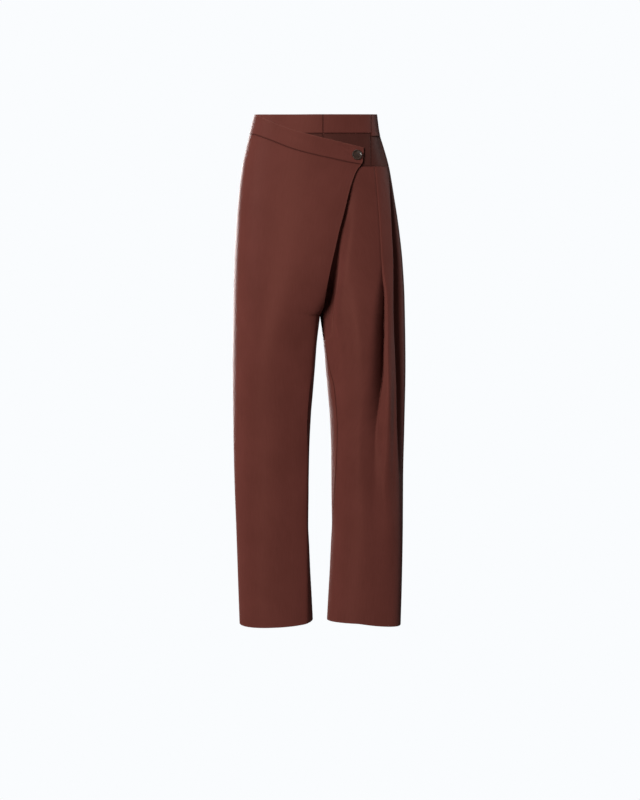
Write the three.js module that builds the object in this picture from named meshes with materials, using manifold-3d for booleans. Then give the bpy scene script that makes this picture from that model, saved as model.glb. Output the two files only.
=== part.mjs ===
// High-waisted straight trousers in a smooth brown twill, in the hollow shape they have when they are
// worn. The right front is cut on into a wrap that crosses the belly under a slanting band and buttons on
// the left hip. The left front hangs from a hip yoke with a box pleat at its side. The right front has a
// short underlap behind the wrap.
//
// Millimetres. +Z is up, the front faces -Y and the wearer's left is +X. The origin is the middle of the
// waist opening, level with the tops of the side seams. Each piece is a cloth wall between two grids of
// points.

import * as THREE from "three";
import { mergeVertices } from "three/addons/utils/BufferGeometryUtils.js";
import Module from "manifold-3d";

const wasm = await Module();
wasm.setup();

// Driving dimensions.
const CLOTH = 1.6; // wall of a single panel with its seam allowances pressed flat
const BAND = 2.4; // wall of a waistband: cloth, interfacing and facing
const SEAM_GAP = 0.3; // between pieces that are sewn together
const FRONT_BAND_DEPTH = 40.7; // height of the front waistband
const BACK_BAND_DEPTH = 47.5; // height of the back waistband, which comes round to the left front
const COVERED_CLEARANCE = 0.1; // added to the waistband's inset where the slanting band covers it
const BAND_PROUD = 0.4; // how far a waistband stands off the cloth under it
const WAIST_DIP_FRONT = 0.145; // drop of the waist for each millimetre towards the front
const WAIST_RISE_BACK = 0.09; // rise of the waist for each millimetre towards the back
const YOKE_SEAM = -113.4; // height of the left yoke's lower seam at the side
const YOKE_SEAM_DIP = 0.12; // its drop for each millimetre towards the front
const YOKE_INSET = 1.0; // the pleated front stands this far proud of the yoke
const UNDERLAP_INSET = CLOTH + 1.3; // the underlap lies this far inside the wrap
const UNDERLAP_SIDE_FOOT = -300; // where its foot meets the right side seam
const CROTCH_CLEARANCE = 1.6; // between its lowest end and the left front
const CENTRE_FRONT = 6.5; // the waistband closes this far left of the middle
const LEFT_BAND_SEAM = 110; // reach of the left front waistband, where the back one meets it
const CROTCH = -440;
const FORK_TOP = -290; // above it the centre seams are nearly upright
const CENTRE_GAP = 0.3; // between the middle plane and what is sewn along it
const HEM = -1104; // mean height of a hem
const SIDE_SEAM = THREE.MathUtils.degToRad(184); // just behind the outline
const HEM_BLEND = 120; // the hem's curve fades out over this height
const WAIST_BLEND = 150; // and so does a panel's upper edge
const WRAP_BLEND = 230; // and the slanting band's lower edge
const LEG_ROWS = 19;
const LEG_CROWDING = 1.3;
const ROUNDNESS = 2.2; // exponent of the sections: 2 is an ellipse, more is squarer
const BUTTON_RADIUS = 11;
const BUTTON_THICKNESS = 3.6;
const BUTTON_LIFT = 0.4; // clear of the slanting band
const SHANK_DEPTH = 5.2; // the thread shank's length behind the slanting band's face
const BUTTONHOLE = { length: 17, width: 3.6, slant: -12, cut: 12 };
const BUTTON_X = 78.5;
const BUTTON_Z = -99.8;

// Reach of the two side outlines from the middle plane, at each height.
const OUTLINE = [
  { z: 12, right: 140, left: 122.5 },
  { z: 0, right: 143, left: 124 },
  { z: -41, right: 153, left: 129.5 },
  { z: -75, right: 161, left: 139.5 },
  { z: -113, right: 169, left: 150 },
  { z: -180, right: 177.5, left: 161.5 },
  { z: -250, right: 183, left: 172 },
  { z: -320, right: 187, left: 179.5 },
  { z: -405, right: 189, left: 184 },
  { z: -550, right: 190, left: 186 },
  { z: -680, right: 188.5, left: 183.5 },
  { z: -785, right: 185.5, left: 181 },
  { z: -890, right: 182, left: 180.5 },
  { z: -1000, right: 178.5, left: 178.5 },
  { z: -1120, right: 174.5, left: 175.5 },
];

// Half of the gap between the legs.
const GAP = [
  { z: -440, half: CENTRE_GAP },
  { z: -471, half: 4 },
  { z: -497, half: 7 },
  { z: -549, half: 11 },
  { z: -602, half: 15.5 },
  { z: -654, half: 20 },
  { z: -732, half: 23.5 },
  { z: -840, half: 24.7 },
  { z: -889, half: 25.5 },
  { z: -942, half: 23.3 },
  { z: -994, half: 21 },
  { z: -1046, half: 18 },
  { z: -1110, half: 14.5 },
];

// How far forward the outer right front and the layer under it reach, and how far back the seat reaches.
const DEPTH = [
  { z: 12, wrap: 87, under: 84, back: 87 },
  { z: -12, wrap: 88, under: 85, back: 89 },
  { z: -53, wrap: 91, under: 88, back: 95 },
  { z: -113, wrap: 98, under: 91, back: 107 },
  { z: -160, wrap: 103, under: 94, back: 114 },
  { z: -220, wrap: 109, under: 97.5, back: 119 },
  { z: -300, wrap: 112, under: 102, back: 119 },
  { z: -380, wrap: 111, under: 104.5, back: 114 },
  { z: -440, wrap: 109, under: 105, back: 109 },
  { z: -500, wrap: 106, under: 104, back: 103 },
  { z: -600, wrap: 96, under: 96, back: 93 },
  { z: -700, wrap: 86, under: 86, back: 84 },
  { z: -800, wrap: 78, under: 78, back: 77 },
  { z: -900, wrap: 72.5, under: 72.5, back: 72 },
  { z: -1000, wrap: 68.5, under: 68.5, back: 68 },
  { z: -1120, wrap: 66, under: 66, back: 65 },
];

// How the one tube of the hips turns into two legs. Each layer's foremost or rearmost point lies at a
// share of the way from the leg's inner side, or from the middle plane above the crotch, to the outline.
const MIDDLE = [
  { z: -113, wrap: 0, under: 0, back: 0 },
  { z: -160, wrap: 0, under: 0.08, back: 0 },
  { z: -210, wrap: 0, under: 0.18, back: 0 },
  { z: -260, wrap: 0.03, under: 0.28, back: 0.03 },
  { z: -300, wrap: 0.09, under: 0.345, back: 0.08 },
  { z: -350, wrap: 0.19, under: 0.4, back: 0.17 },
  { z: -400, wrap: 0.3, under: 0.435, back: 0.28 },
  { z: -440, wrap: 0.38, under: 0.455, back: 0.36 },
  { z: -500, wrap: 0.45, under: 0.48, back: 0.44 },
  { z: -560, wrap: 0.485, under: 0.495, back: 0.48 },
  { z: -620, wrap: 0.5, under: 0.5, back: 0.5 },
  { z: -700, wrap: 0.5, under: 0.5, back: 0.5 },
];

// How far past the middle plane the left front's or a back's curve would reach, as a share of the
// outline's reach.
const PAST_MIDDLE = [
  { z: -113, under: 1, back: 1 },
  { z: -160, under: 0.82, back: 1 },
  { z: -220, under: 0.46, back: 0.97 },
  { z: -260, under: 0.27, back: 0.87 },
  { z: -300, under: 0.14, back: 0.72 },
  { z: -350, under: 0.06, back: 0.48 },
  { z: -400, under: 0.02, back: 0.21 },
  { z: -425, under: 0.01, back: 0.08 },
  { z: -435, under: 0.004, back: 0.028 },
  { z: -440, under: 0, back: 0 },
];

// The wrap above the crotch: how far left of the middle plane its curve would reach, and its free edge's
// place.
const WRAP = [
  { z: 12, reach: 126, edge: 94.5 },
  { z: -50, reach: 134.5, edge: 94.5 },
  { z: -82, reach: 145, edge: 94 },
  { z: -113, reach: 154, edge: 91.5 },
  { z: -120, reach: 156, edge: 88.5 },
  { z: -130, reach: 158, edge: 80.5 },
  { z: -146, reach: 160.5, edge: 73 },
  { z: -170, reach: 163.5, edge: 65 },
  { z: -200, reach: 168, edge: 57.5 },
  { z: -230, reach: 163, edge: 50.2 },
  { z: -262, reach: 148, edge: 41.5 },
  { z: -300, reach: 122, edge: 33 },
  { z: -350, reach: 82, edge: 20.6 },
  { z: -400, reach: 38, edge: 9.4 },
  { z: -425, reach: 14.5, edge: 4.6 },
  { z: -435, reach: 5, edge: 0.8 },
  { z: -440, reach: 0, edge: -1.4 },
];

// The slanting band on the wrap, from the right side seam to its tab: its upper and lower edges.
const SLANT = [
  { x: -160, upper: 2, lower: -43.5 },
  { x: -143, upper: -3.5, lower: -49.5 },
  { x: -126, upper: -14, lower: -57 },
  { x: -94, upper: -30.5, lower: -71.5 },
  { x: -60, upper: -44.5, lower: -86 },
  { x: -13, upper: -58.5, lower: -99.5 },
  { x: 34, upper: -69.5, lower: -110 },
  { x: 60, upper: -75.5, lower: -115.3 },
  { x: 95, upper: -82.5, lower: -120.5 },
];

// How far round to the front each inseam lies, in degrees from the leg's inner side.
const INSEAM = [
  { z: -440, right: 0, left: 0 },
  { z: -507, right: 16, left: 18 },
  { z: -547, right: 26, left: 26 },
  { z: -601, right: 36, left: 37 },
  { z: -667, right: 36, left: 38 },
  { z: -710, right: 33, left: 36 },
  { z: -765, right: 27, left: 32 },
  { z: -819, right: 20, left: 26 },
  { z: -852, right: 13, left: 20 },
  { z: -900, right: 4, left: 7 },
  { z: -950, right: 0, left: 0 },
  { z: -1110, right: -6, left: -6 },
];

// The box pleat's two folded edges. Each has a groove beside it, towards the front or the back: where the
// edge lies across the leg, the groove's depth and width, how far its bottom is from the edge, how far the
// edge leans over it, and how high the edge stands.
const FRONT_FOLD = [
  { z: -100, edge: 116.5, depth: 1.3, width: 6, bottom: 1, lean: 0, crest: 0.4 },
  { z: -122, edge: 118, depth: 1.8, width: 6, bottom: 1, lean: 0, crest: 0.5 },
  { z: -210, edge: 126, depth: 2.8, width: 8, bottom: 1, lean: 1, crest: 1 },
  { z: -325, edge: 133.5, depth: 4, width: 10, bottom: 2, lean: 2, crest: 1.5 },
  { z: -366, edge: 137.5, depth: 8, width: 15, bottom: 3, lean: 3, crest: 2 },
  { z: -427, edge: 142, depth: 18, width: 28, bottom: 5, lean: 4, crest: 3 },
  { z: -494, edge: 145, depth: 26, width: 40, bottom: 10, lean: 3, crest: 5 },
  { z: -557, edge: 146.5, depth: 28, width: 48, bottom: 16, lean: 1, crest: 6 },
  { z: -623, edge: 147, depth: 24, width: 54, bottom: 22, lean: 0, crest: 6 },
  { z: -707, edge: 146.5, depth: 15, width: 58, bottom: 28, lean: 0, crest: 4.5 },
  { z: -795, edge: 145, depth: 7, width: 60, bottom: 30, lean: 0, crest: 2 },
  { z: -880, edge: 143, depth: 2, width: 60, bottom: 30, lean: 0, crest: 0.6 },
  { z: -960, edge: 141, depth: 0, width: 60, bottom: 30, lean: 0, crest: 0 },
];
const BACK_FOLD = [
  { z: -100, edge: 143, depth: 0.6, width: 7, bottom: 2, lean: 0, crest: 0 },
  { z: -116, edge: 147, depth: 1.4, width: 9, bottom: 3, lean: 0, crest: 0 },
  { z: -150, edge: 150.5, depth: 6, width: 16, bottom: 4, lean: 1, crest: 0 },
  { z: -180, edge: 153, depth: 12, width: 26, bottom: 6, lean: 2, crest: 0.5 },
  { z: -259, edge: 156, depth: 22, width: 44, bottom: 9, lean: 4, crest: 1 },
  { z: -325, edge: 159, depth: 28, width: 54, bottom: 12, lean: 5, crest: 1 },
  { z: -400, edge: 161.5, depth: 31, width: 60, bottom: 14, lean: 5, crest: 1 },
  { z: -455, edge: 163, depth: 31, width: 60, bottom: 14, lean: 4, crest: 0.5 },
  { z: -519, edge: 166, depth: 28, width: 56, bottom: 14, lean: 3, crest: 0 },
  { z: -601, edge: 169, depth: 21, width: 48, bottom: 14, lean: 2, crest: 0 },
  { z: -680, edge: 171, depth: 12, width: 40, bottom: 14, lean: 0, crest: 0 },
  { z: -750, edge: 172, depth: 6, width: 36, bottom: 14, lean: 0, crest: 0 },
  { z: -820, edge: 172, depth: 2, width: 34, bottom: 14, lean: 0, crest: 0 },
  { z: -880, edge: 172, depth: 0, width: 34, bottom: 14, lean: 0, crest: 0 },
];
const CREST_REACH = 14; // how far along the cloth a fold's raised edge fades out
const FOLD_ROUND = 3; // how far back from its place a folded edge starts to round over
const SIDE_MARGIN = 6; // flat cloth left between the back groove and the side seam

const { clamp, degToRad, lerp } = THREE.MathUtils;

// A smooth curve through one column of a table that doesn't overshoot its rows.
function curve(table, name, key = "z") {
  const rows = [...table].sort((a, b) => a[key] - b[key]);
  const at = rows.map((row) => row[key]);
  const value = rows.map((row) => row[name]);
  const last = rows.length - 1;
  const rise = at.slice(1).map((end, i) => (value[i + 1] - value[i]) / (end - at[i]));
  const slope = at.map((_, i) => {
    if (i === 0) return rise[0];
    if (i === last) return rise[last - 1];
    const product = rise[i - 1] * rise[i];
    return product <= 0 ? 0 : (2 * product) / (rise[i - 1] + rise[i]);
  });
  return (wanted) => {
    const place = clamp(wanted, at[0], at[last]);
    let i = 0;
    while (i < last - 1 && place > at[i + 1]) i += 1;
    const span = at[i + 1] - at[i];
    const t = (place - at[i]) / span;
    const [t2, t3] = [t * t, t * t * t];
    return (
      (2 * t3 - 3 * t2 + 1) * value[i] +
      (t3 - 2 * t2 + t) * span * slope[i] +
      (3 * t2 - 2 * t3) * value[i + 1] +
      (t3 - t2) * span * slope[i + 1]
    );
  };
}

const outline = { right: curve(OUTLINE, "right"), left: curve(OUTLINE, "left") };
const gapHalf = curve(GAP, "half");
const depth = { wrap: curve(DEPTH, "wrap"), under: curve(DEPTH, "under"), back: curve(DEPTH, "back") };
const middleShare = {
  wrap: curve(MIDDLE, "wrap"),
  under: curve(MIDDLE, "under"),
  back: curve(MIDDLE, "back"),
};
const pastMiddle = { under: curve(PAST_MIDDLE, "under"), back: curve(PAST_MIDDLE, "back") };
const wrapReach = curve(WRAP, "reach");
const wrapEdge = curve(WRAP, "edge");
const slantUpper = curve(SLANT, "upper", "x");
const slantLower = curve(SLANT, "lower", "x");
const inseam = { right: curve(INSEAM, "right"), left: curve(INSEAM, "left") };

const evenly = (count) => Array.from({ length: count + 1 }, (_, i) => i / count);
const smooth = (t) => clamp(t, 0, 1) ** 2 * (3 - 2 * clamp(t, 0, 1));
const power = (base, exponent) => Math.sign(base) * Math.abs(base) ** exponent;

// The section of one side at a height, as a front arc and a back arc that meet at the outer side. The
// layer is "wrap" or "under", and inset draws the whole section in.
function section(side, layer, z, inset = 0) {
  const reach = outline[side > 0 ? "left" : "right"](z);
  const gap = z > CROTCH ? 0 : gapHalf(z);
  const past = (name) => (name === "wrap" ? wrapReach(z) : reach * pastMiddle[name](z));
  const arc = (name) => ({
    middle: lerp(gap, reach, middleShare[name](z)),
    inner: z > CROTCH ? -past(name) : gap,
    depth: depth[name](z) - inset,
  });
  return { side, outer: reach - inset, front: arc(layer), back: arc("back") };
}

// A point of a section. Its angle runs round the tube: 0 at the inner side, then 90 degrees at the front,
// 180 at the outer side and 270 behind.
function pointOn(cut, angle) {
  const [along, across] = [Math.cos(angle), Math.sin(angle)];
  const arc = across >= 0 ? cut.front : cut.back;
  const reach = along >= 0 ? arc.middle - arc.inner : cut.outer - arc.middle;
  const x = arc.middle - reach * power(along, 2 / ROUNDNESS);
  const y = -power(across, 2 / ROUNDNESS) * arc.depth;
  return new THREE.Vector2(cut.side * x, y);
}

// The angle at which a section's front or back arc passes a given x.
function angleAt(cut, x, isBack = false) {
  const arc = isBack ? cut.back : cut.front;
  const away = arc.middle - cut.side * x;
  const reach = away >= 0 ? arc.middle - arc.inner : cut.outer - arc.middle;
  const angle = Math.acos(clamp(power(away / reach, ROUNDNESS / 2), -1, 1));
  return isBack ? 2 * Math.PI - angle : angle;
}

// Heights of the waist's edges, which follow the body's tilt, and of the hem, lowest at the front.
const waistTop = (y) => y * (y < 0 ? WAIST_DIP_FRONT : WAIST_RISE_BACK);
const frontBandFoot = (y) => waistTop(y) - FRONT_BAND_DEPTH;
const backBandFoot = (y) => waistTop(y) - BACK_BAND_DEPTH;
const yokeFoot = (y) => YOKE_SEAM + y * YOKE_SEAM_DIP;
const hemRise = (angle) => 4 * Math.cos(angle) - (Math.sin(angle) > 0 ? 8 : -2) * Math.sin(angle);
const centreFront = (z) => lerp(CENTRE_GAP, CENTRE_FRONT, smooth((z - CROTCH) / (YOKE_SEAM - CROTCH)));

// Heights of a long panel's rows. They lie closest at the crotch, where its sections change fastest, and
// the more so the higher the crowding. Below the crotch all panels share the same heights, so their
// inseams match.
function panelHeights(top, rowsAbove, crowding) {
  const above = evenly(rowsAbove).slice(1).reverse();
  const below = evenly(LEG_ROWS);
  return [
    ...above.map((share) => lerp(CROTCH, top, share ** crowding)),
    ...below.map((share) => lerp(CROTCH, HEM, share ** LEG_CROWDING)),
  ];
}

// How far a point of the cloth rises or drops near a leg's foot, for the hem's curve.
const hemShift = (height, angle) => smooth((HEM + HEM_BLEND - height) / HEM_BLEND) * hemRise(angle);

// How far round from the side seam a share of a long panel's width lies at a height. turnAt gives the
// whole turn to the panel's other edge. That edge swings fast along the crotch's curve, and only the last
// columns follow it.
function turnedBy(share, turnAt, z) {
  const turn = turnAt(z);
  if (z >= FORK_TOP || z <= CROTCH) return turn * share;
  const even = lerp(turnAt(FORK_TOP), turnAt(CROTCH), (FORK_TOP - z) / (FORK_TOP - CROTCH));
  return even * share - (even - turn) * share ** 4;
}

// A grid of points: place(across, down) gives each from its shares of the width and of the rows.
const gridOf = (columns, rows, place) => rows.map((down) => columns.map((across) => place(across, down)));

// Draws a grid's four edges in by half of the seam gap.
function trimmed(grid) {
  const draw = (edge, next) => edge.clone().add(next.clone().sub(edge).setLength(SEAM_GAP / 2));
  const narrower = grid.map((row) => {
    return [draw(row[0], row[1]), ...row.slice(1, -1), draw(row.at(-1), row.at(-2))];
  });
  const top = narrower[0].map((point, i) => draw(point, narrower[1][i]));
  const foot = narrower.at(-1).map((point, i) => draw(point, narrower.at(-2)[i]));
  return [top, ...narrower.slice(1, -1), foot];
}

// How a line of points runs at one of them. At an end it follows the curve through the last three.
function direction(points, i) {
  const last = points.length - 1;
  if (i > 0 && i < last) return points[i + 1].clone().sub(points[i - 1]);
  const [next, further] = i === 0 ? [points[1], points[2]] : [points[last - 1], points[last - 2]];
  const away = next.clone().sub(points[i]).multiplyScalar(4).sub(further.clone().sub(points[i]));
  return i === 0 ? away : away.negate();
}

// The outward direction at each point of a grid, level along its top and foot. turn is 1 where the columns
// run round to the left, and -1 otherwise.
function outward(grid, turn) {
  const columns = grid[0].map((_, j) => grid.map((row) => row[j]));
  const isEdge = (i) => i === 0 || i === grid.length - 1;
  return grid.map((row, i) =>
    row.map((_, j) => {
      const normal = direction(columns[j], i).cross(direction(row, j)).multiplyScalar(turn);
      return (isEdge(i) ? normal.setZ(0) : normal).normalize();
    }),
  );
}

// A closed wall from a grid of outer points.
function wall(grid, thickness, turn) {
  const normals = outward(grid, turn);
  const width = grid[0].length;
  const inner = grid.map((row, i) => {
    return row.map((point, j) => point.clone().addScaledVector(normals[i][j], -thickness));
  });
  const positions = [...grid.flat(), ...inner.flat()].flatMap((point) => point.toArray());
  const innerStart = grid.length * width;
  const faces = [];
  const quad = (a, b, c, d) => {
    const corners = turn > 0 ? [a, b, c, a, c, d] : [a, c, b, a, d, c];
    faces.push(...corners);
  };
  const outerAt = (i, j) => i * width + j;
  const innerAt = (i, j) => innerStart + i * width + j;
  for (let i = 0; i < grid.length - 1; i += 1) {
    for (let j = 0; j < width - 1; j += 1) {
      quad(outerAt(i, j), outerAt(i + 1, j), outerAt(i + 1, j + 1), outerAt(i, j + 1));
      quad(innerAt(i, j), innerAt(i, j + 1), innerAt(i + 1, j + 1), innerAt(i + 1, j));
    }
    quad(outerAt(i, 0), innerAt(i, 0), innerAt(i + 1, 0), outerAt(i + 1, 0));
    quad(outerAt(i + 1, width - 1), innerAt(i + 1, width - 1), innerAt(i, width - 1), outerAt(i, width - 1));
  }
  const foot = grid.length - 1;
  for (let j = 0; j < width - 1; j += 1) {
    quad(outerAt(0, j + 1), innerAt(0, j + 1), innerAt(0, j), outerAt(0, j));
    quad(outerAt(foot, j), innerAt(foot, j), innerAt(foot, j + 1), outerAt(foot, j + 1));
  }
  const geometry = new THREE.BufferGeometry();
  geometry.setAttribute("position", new THREE.Float32BufferAttribute(positions, 3));
  geometry.setIndex(faces);
  return geometry;
}

const raised = (flat, z) => new THREE.Vector3(flat.x, flat.y, z);

// A point of one side, a share of the way down from one edge rule's height to another's. A rule gives a
// height for how far forward the uninset section lies there, and angleOf finds the point's angle on it.
function between(side, layer, inset, angleOf, [top, foot], down) {
  const settle = (height) => {
    let z = height(0);
    for (let pass = 0; pass < 4; pass += 1) {
      const cut = section(side, layer, z);
      z = height(pointOn(cut, angleOf(cut)).y);
    }
    return z;
  };
  const z = lerp(settle(top), settle(foot), down);
  return raised(pointOn(section(side, layer, z, inset), angleOf(section(side, layer, z))), z);
}

// The waistband at the right front, from the centre front closure to the right side seam. The slanting
// band covers its end.
function waistbandFrontRight() {
  const grid = gridOf(evenly(12), evenly(3), (across, down) => {
    const inset = smooth(across * 4) * (BAND + COVERED_CLEARANCE) - BAND_PROUD;
    const angleOf = (cut) => lerp(angleAt(cut, CENTRE_FRONT), SIDE_SEAM, across);
    return between(-1, "under", inset, angleOf, [waistTop, frontBandFoot], down);
  });
  return wall(trimmed(grid), BAND, -1);
}

// The waistband at the left front, from the closure to the back waistband's end.
function waistbandFrontLeft() {
  const grid = gridOf(evenly(8), evenly(3), (across, down) => {
    const angleOf = (cut) => lerp(angleAt(cut, CENTRE_FRONT), angleAt(cut, LEFT_BAND_SEAM), across);
    return between(1, "under", -BAND_PROUD, angleOf, [waistTop, frontBandFoot], down);
  });
  return wall(trimmed(grid), BAND, 1);
}

// The back waistband, from its end on the left front round the back to the right side seam.
function waistbandBack() {
  const behind = 1.5 * Math.PI;
  const leftShare = 0.58;
  const grid = gridOf(evenly(36), evenly(3), (across, down) => {
    const isLeft = across < leftShare;
    const angleOf = (cut) => {
      if (isLeft) return lerp(angleAt(cut, LEFT_BAND_SEAM), behind, across / leftShare);
      return lerp(behind, SIDE_SEAM, (across - leftShare) / (1 - leftShare));
    };
    return between(isLeft ? 1 : -1, "under", -BAND_PROUD, angleOf, [waistTop, backBandFoot], down);
  });
  return wall(trimmed(grid), BAND, 1);
}

// The front part of the left yoke, from the centre front to below the waistbands' seam. The wrap hides
// half of it.
function yokeFrontLeft() {
  const grid = gridOf(evenly(8), evenly(3), (across, down) => {
    const angleOf = (cut) => lerp(angleAt(cut, CENTRE_FRONT), angleAt(cut, LEFT_BAND_SEAM), across);
    return between(1, "under", YOKE_INSET, angleOf, [frontBandFoot, yokeFoot], down);
  });
  return wall(trimmed(grid), CLOTH, 1);
}

// The side part of the left yoke, from there to the left side seam.
function yokeSideLeft() {
  const grid = gridOf(evenly(7), evenly(3), (across, down) => {
    const angleOf = (cut) => lerp(angleAt(cut, LEFT_BAND_SEAM), SIDE_SEAM, across);
    const inset = YOKE_INSET * (1 - smooth(across));
    return between(1, "under", inset, angleOf, [backBandFoot, yokeFoot], down);
  });
  return wall(trimmed(grid), CLOTH, 1);
}

// The right front's underlap: it follows the wrap just inside it, and draws in to the centre front seam.
function underlapFrontRight() {
  const lowest = CROTCH + 4;
  const grid = gridOf(evenly(8), evenly(14), (across, down) => {
    const forward = -DEPTH[2].under * Math.cos((across * Math.PI) / 2);
    const foot = lerp(lowest, UNDERLAP_SIDE_FOOT, across ** 0.6);
    const z = lerp(frontBandFoot(forward) - SEAM_GAP, foot, 1 - (1 - down) ** 1.6);
    const cut = section(-1, "wrap", z, UNDERLAP_INSET);
    const start = angleAt(cut, centreFront(z));
    const left = section(1, "under", z, YOKE_INSET * smooth((z - YOKE_SEAM) / 40 + 1));
    const seam = pointOn(left, angleAt(left, centreFront(z)));
    seam.x -= CROTCH_CLEARANCE * (1 - smooth((z - CROTCH) / 80));
    const drawn = seam.sub(pointOn(cut, start)).multiplyScalar((1 - across) ** 2);
    return raised(pointOn(cut, lerp(start, SIDE_SEAM, across)).add(drawn), z);
  });
  return wall(trimmed(grid), CLOTH, -1);
}

// The slanting band along the wrap's upper edge, with its square tab on the left hip.
function slantingBand() {
  const grid = gridOf(evenly(22), evenly(3), (across, down) => {
    let point = new THREE.Vector3(0, 0, slantLower(0));
    for (let pass = 0; pass < 6; pass += 1) {
      const z = lerp(slantUpper(point.x), slantLower(point.x), down);
      const cut = section(-1, "wrap", z, -BAND_PROUD);
      point = raised(pointOn(cut, lerp(angleAt(cut, wrapEdge(z)), SIDE_SEAM, across)), z);
    }
    return point;
  });
  return wall(trimmed(grid), BAND - BAND_PROUD, -1);
}

// The right front: the wrap above the crotch, and the front of the right leg below it.
function rightFront() {
  const top = slantLower(wrapEdge(-120));
  const freeEdge = (z) => angleAt(section(-1, "wrap", z), wrapEdge(z));
  const turnAt = (z) => SIDE_SEAM - (z > CROTCH ? freeEdge(z) : degToRad(inseam.right(z)));
  const grid = gridOf(evenly(20), panelHeights(top, 16, 1.5), (across, height) => {
    const angleFor = (z) => SIDE_SEAM - turnedBy(1 - across, turnAt, z);
    let z = height;
    for (let pass = 0; pass < 6; pass += 1) {
      const { x } = pointOn(section(-1, "wrap", z), angleFor(z));
      const slant = (slantLower(x) - top) * (1 - smooth((top - height) / WRAP_BLEND));
      z = height + slant + hemShift(height, angleFor(height));
    }
    return raised(pointOn(section(-1, "wrap", z), angleFor(z)), z);
  });
  return wall(trimmed(grid), CLOTH, -1);
}

// One side's back: from the side seam to the centre back seam above the crotch, and to the inseam below it.
function backPanel(side) {
  const legInseam = inseam[side > 0 ? "left" : "right"];
  const layer = side > 0 ? "under" : "wrap";
  const top = backBandFoot(0);
  const centreSeam = (z) => angleAt(section(side, layer, z), side * CENTRE_GAP, true);
  const turnAt = (z) => (z > CROTCH ? centreSeam(z) : 2 * Math.PI + degToRad(legInseam(z))) - SIDE_SEAM;
  const grid = gridOf(evenly(14), panelHeights(top, 14, 1.6), (across, height) => {
    const angleFor = (z) => SIDE_SEAM + turnedBy(across, turnAt, z);
    const { y } = pointOn(section(side, layer, height), angleFor(height));
    const waist = (backBandFoot(y) - top) * (1 - smooth((top - height) / WAIST_BLEND));
    const z = height + waist + hemShift(height, angleFor(height));
    return raised(pointOn(section(side, layer, z), angleFor(z)), z);
  });
  return wall(trimmed(grid), CLOTH, side);
}

// The left front's section at a height before pleating, measured along the cloth from its inner edge.
function leftFrontArc(z) {
  const cut = section(1, "under", z);
  const start = z > CROTCH ? angleAt(cut, centreFront(z)) : degToRad(inseam.left(z));
  const steps = 160;
  const points = Array.from({ length: steps + 1 }, (_, i) => {
    return pointOn(cut, lerp(start, SIDE_SEAM, i / steps));
  });
  const lengths = [0];
  points.slice(1).forEach((point, i) => lengths.push(lengths[i] + point.distanceTo(points[i])));
  const at = (length) => {
    const wanted = clamp(length, 0, lengths[steps]);
    let i = 0;
    while (i < steps - 1 && wanted > lengths[i + 1]) i += 1;
    const t = (wanted - lengths[i]) / (lengths[i + 1] - lengths[i]);
    const point = points[i].clone().lerp(points[i + 1], t);
    const along = points[i + 1].clone().sub(points[i]).normalize();
    return { point, along, out: new THREE.Vector2(along.y, -along.x) };
  };
  const front = angleAt(cut, cut.front.middle);
  const lengthAtX = (x) => {
    const i = points.findIndex((point, k) => point.x >= x && lerp(start, SIDE_SEAM, k / steps) > front);
    return i < 0 ? lengths[steps] : lengths[i];
  };
  return { at, lengthAtX, total: lengths[steps] };
}

// One folded edge of the box pleat at a height: its place along the cloth, and how it moves the cloth near
// it.
const FOLD_COLUMNS = ["edge", "depth", "width", "bottom", "lean", "crest"];
const folds = [FRONT_FOLD, BACK_FOLD].map((table) => FOLD_COLUMNS.map((name) => curve(table, name)));
function foldAt(fold, toFront, arc, z) {
  const [edge, deep, width, bottom, lean, crest] = fold.map((column) => column(z));
  const place = Math.min(arc.lengthAtX(edge), arc.total - width - SIDE_MARGIN);
  const shape = (length) => {
    const away = toFront ? place - length : length - place;
    const near = 1 - smooth(Math.abs(away) / CREST_REACH);
    const steep = (away + FOLD_ROUND) / (bottom + FOLD_ROUND);
    const down = smooth(away < bottom ? steep : (width - away) / (width - bottom));
    return { out: crest * near - deep * down, along: (toFront ? -1 : 1) * lean * near };
  };
  const groove = [-2, bottom, width].map((away) => place + (toFront ? -away : away));
  return { shape, groove: toFront ? groove.reverse() : groove };
}

// The left front, hung from the yoke in a box pleat, with the front of the left leg below.
function leftFront() {
  const top = YOKE_SEAM;
  const shares = [9, 4, 3, 4, 3, 4, 3];
  const stations = shares.flatMap((count, part) => Array.from({ length: count }, (_, i) => part + i / count));
  stations.push(shares.length);
  const rowOf = (z) => {
    const arc = leftFrontArc(z);
    const [front, back] = [foldAt(folds[0], true, arc, z), foldAt(folds[1], false, arc, z)];
    const marks = [0, ...front.groove, ...back.groove, arc.total];
    return (station) => {
      const part = Math.min(Math.floor(station), marks.length - 2);
      const length = lerp(marks[part], marks[part + 1], station - part);
      const { point, along, out } = arc.at(length);
      const pleated = point.clone();
      [front, back].forEach(({ shape }) => {
        const moved = shape(length);
        pleated.addScaledVector(out, moved.out).addScaledVector(along, moved.along);
      });
      return { unpleated: point, pleated };
    };
  };
  const grid = gridOf(stations, panelHeights(top, 14, 1.4), (station, height) => {
    const { y } = rowOf(height)(station).unpleated;
    const seam = (yokeFoot(y) - top) * (1 - smooth((top - height) / WAIST_BLEND));
    const z = height + seam + hemShift(height, lerp(0, SIDE_SEAM, station / shares.length));
    return raised(rowOf(z)(station).pleated, z);
  });
  return wall(trimmed(grid), CLOTH, 1);
}

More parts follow.
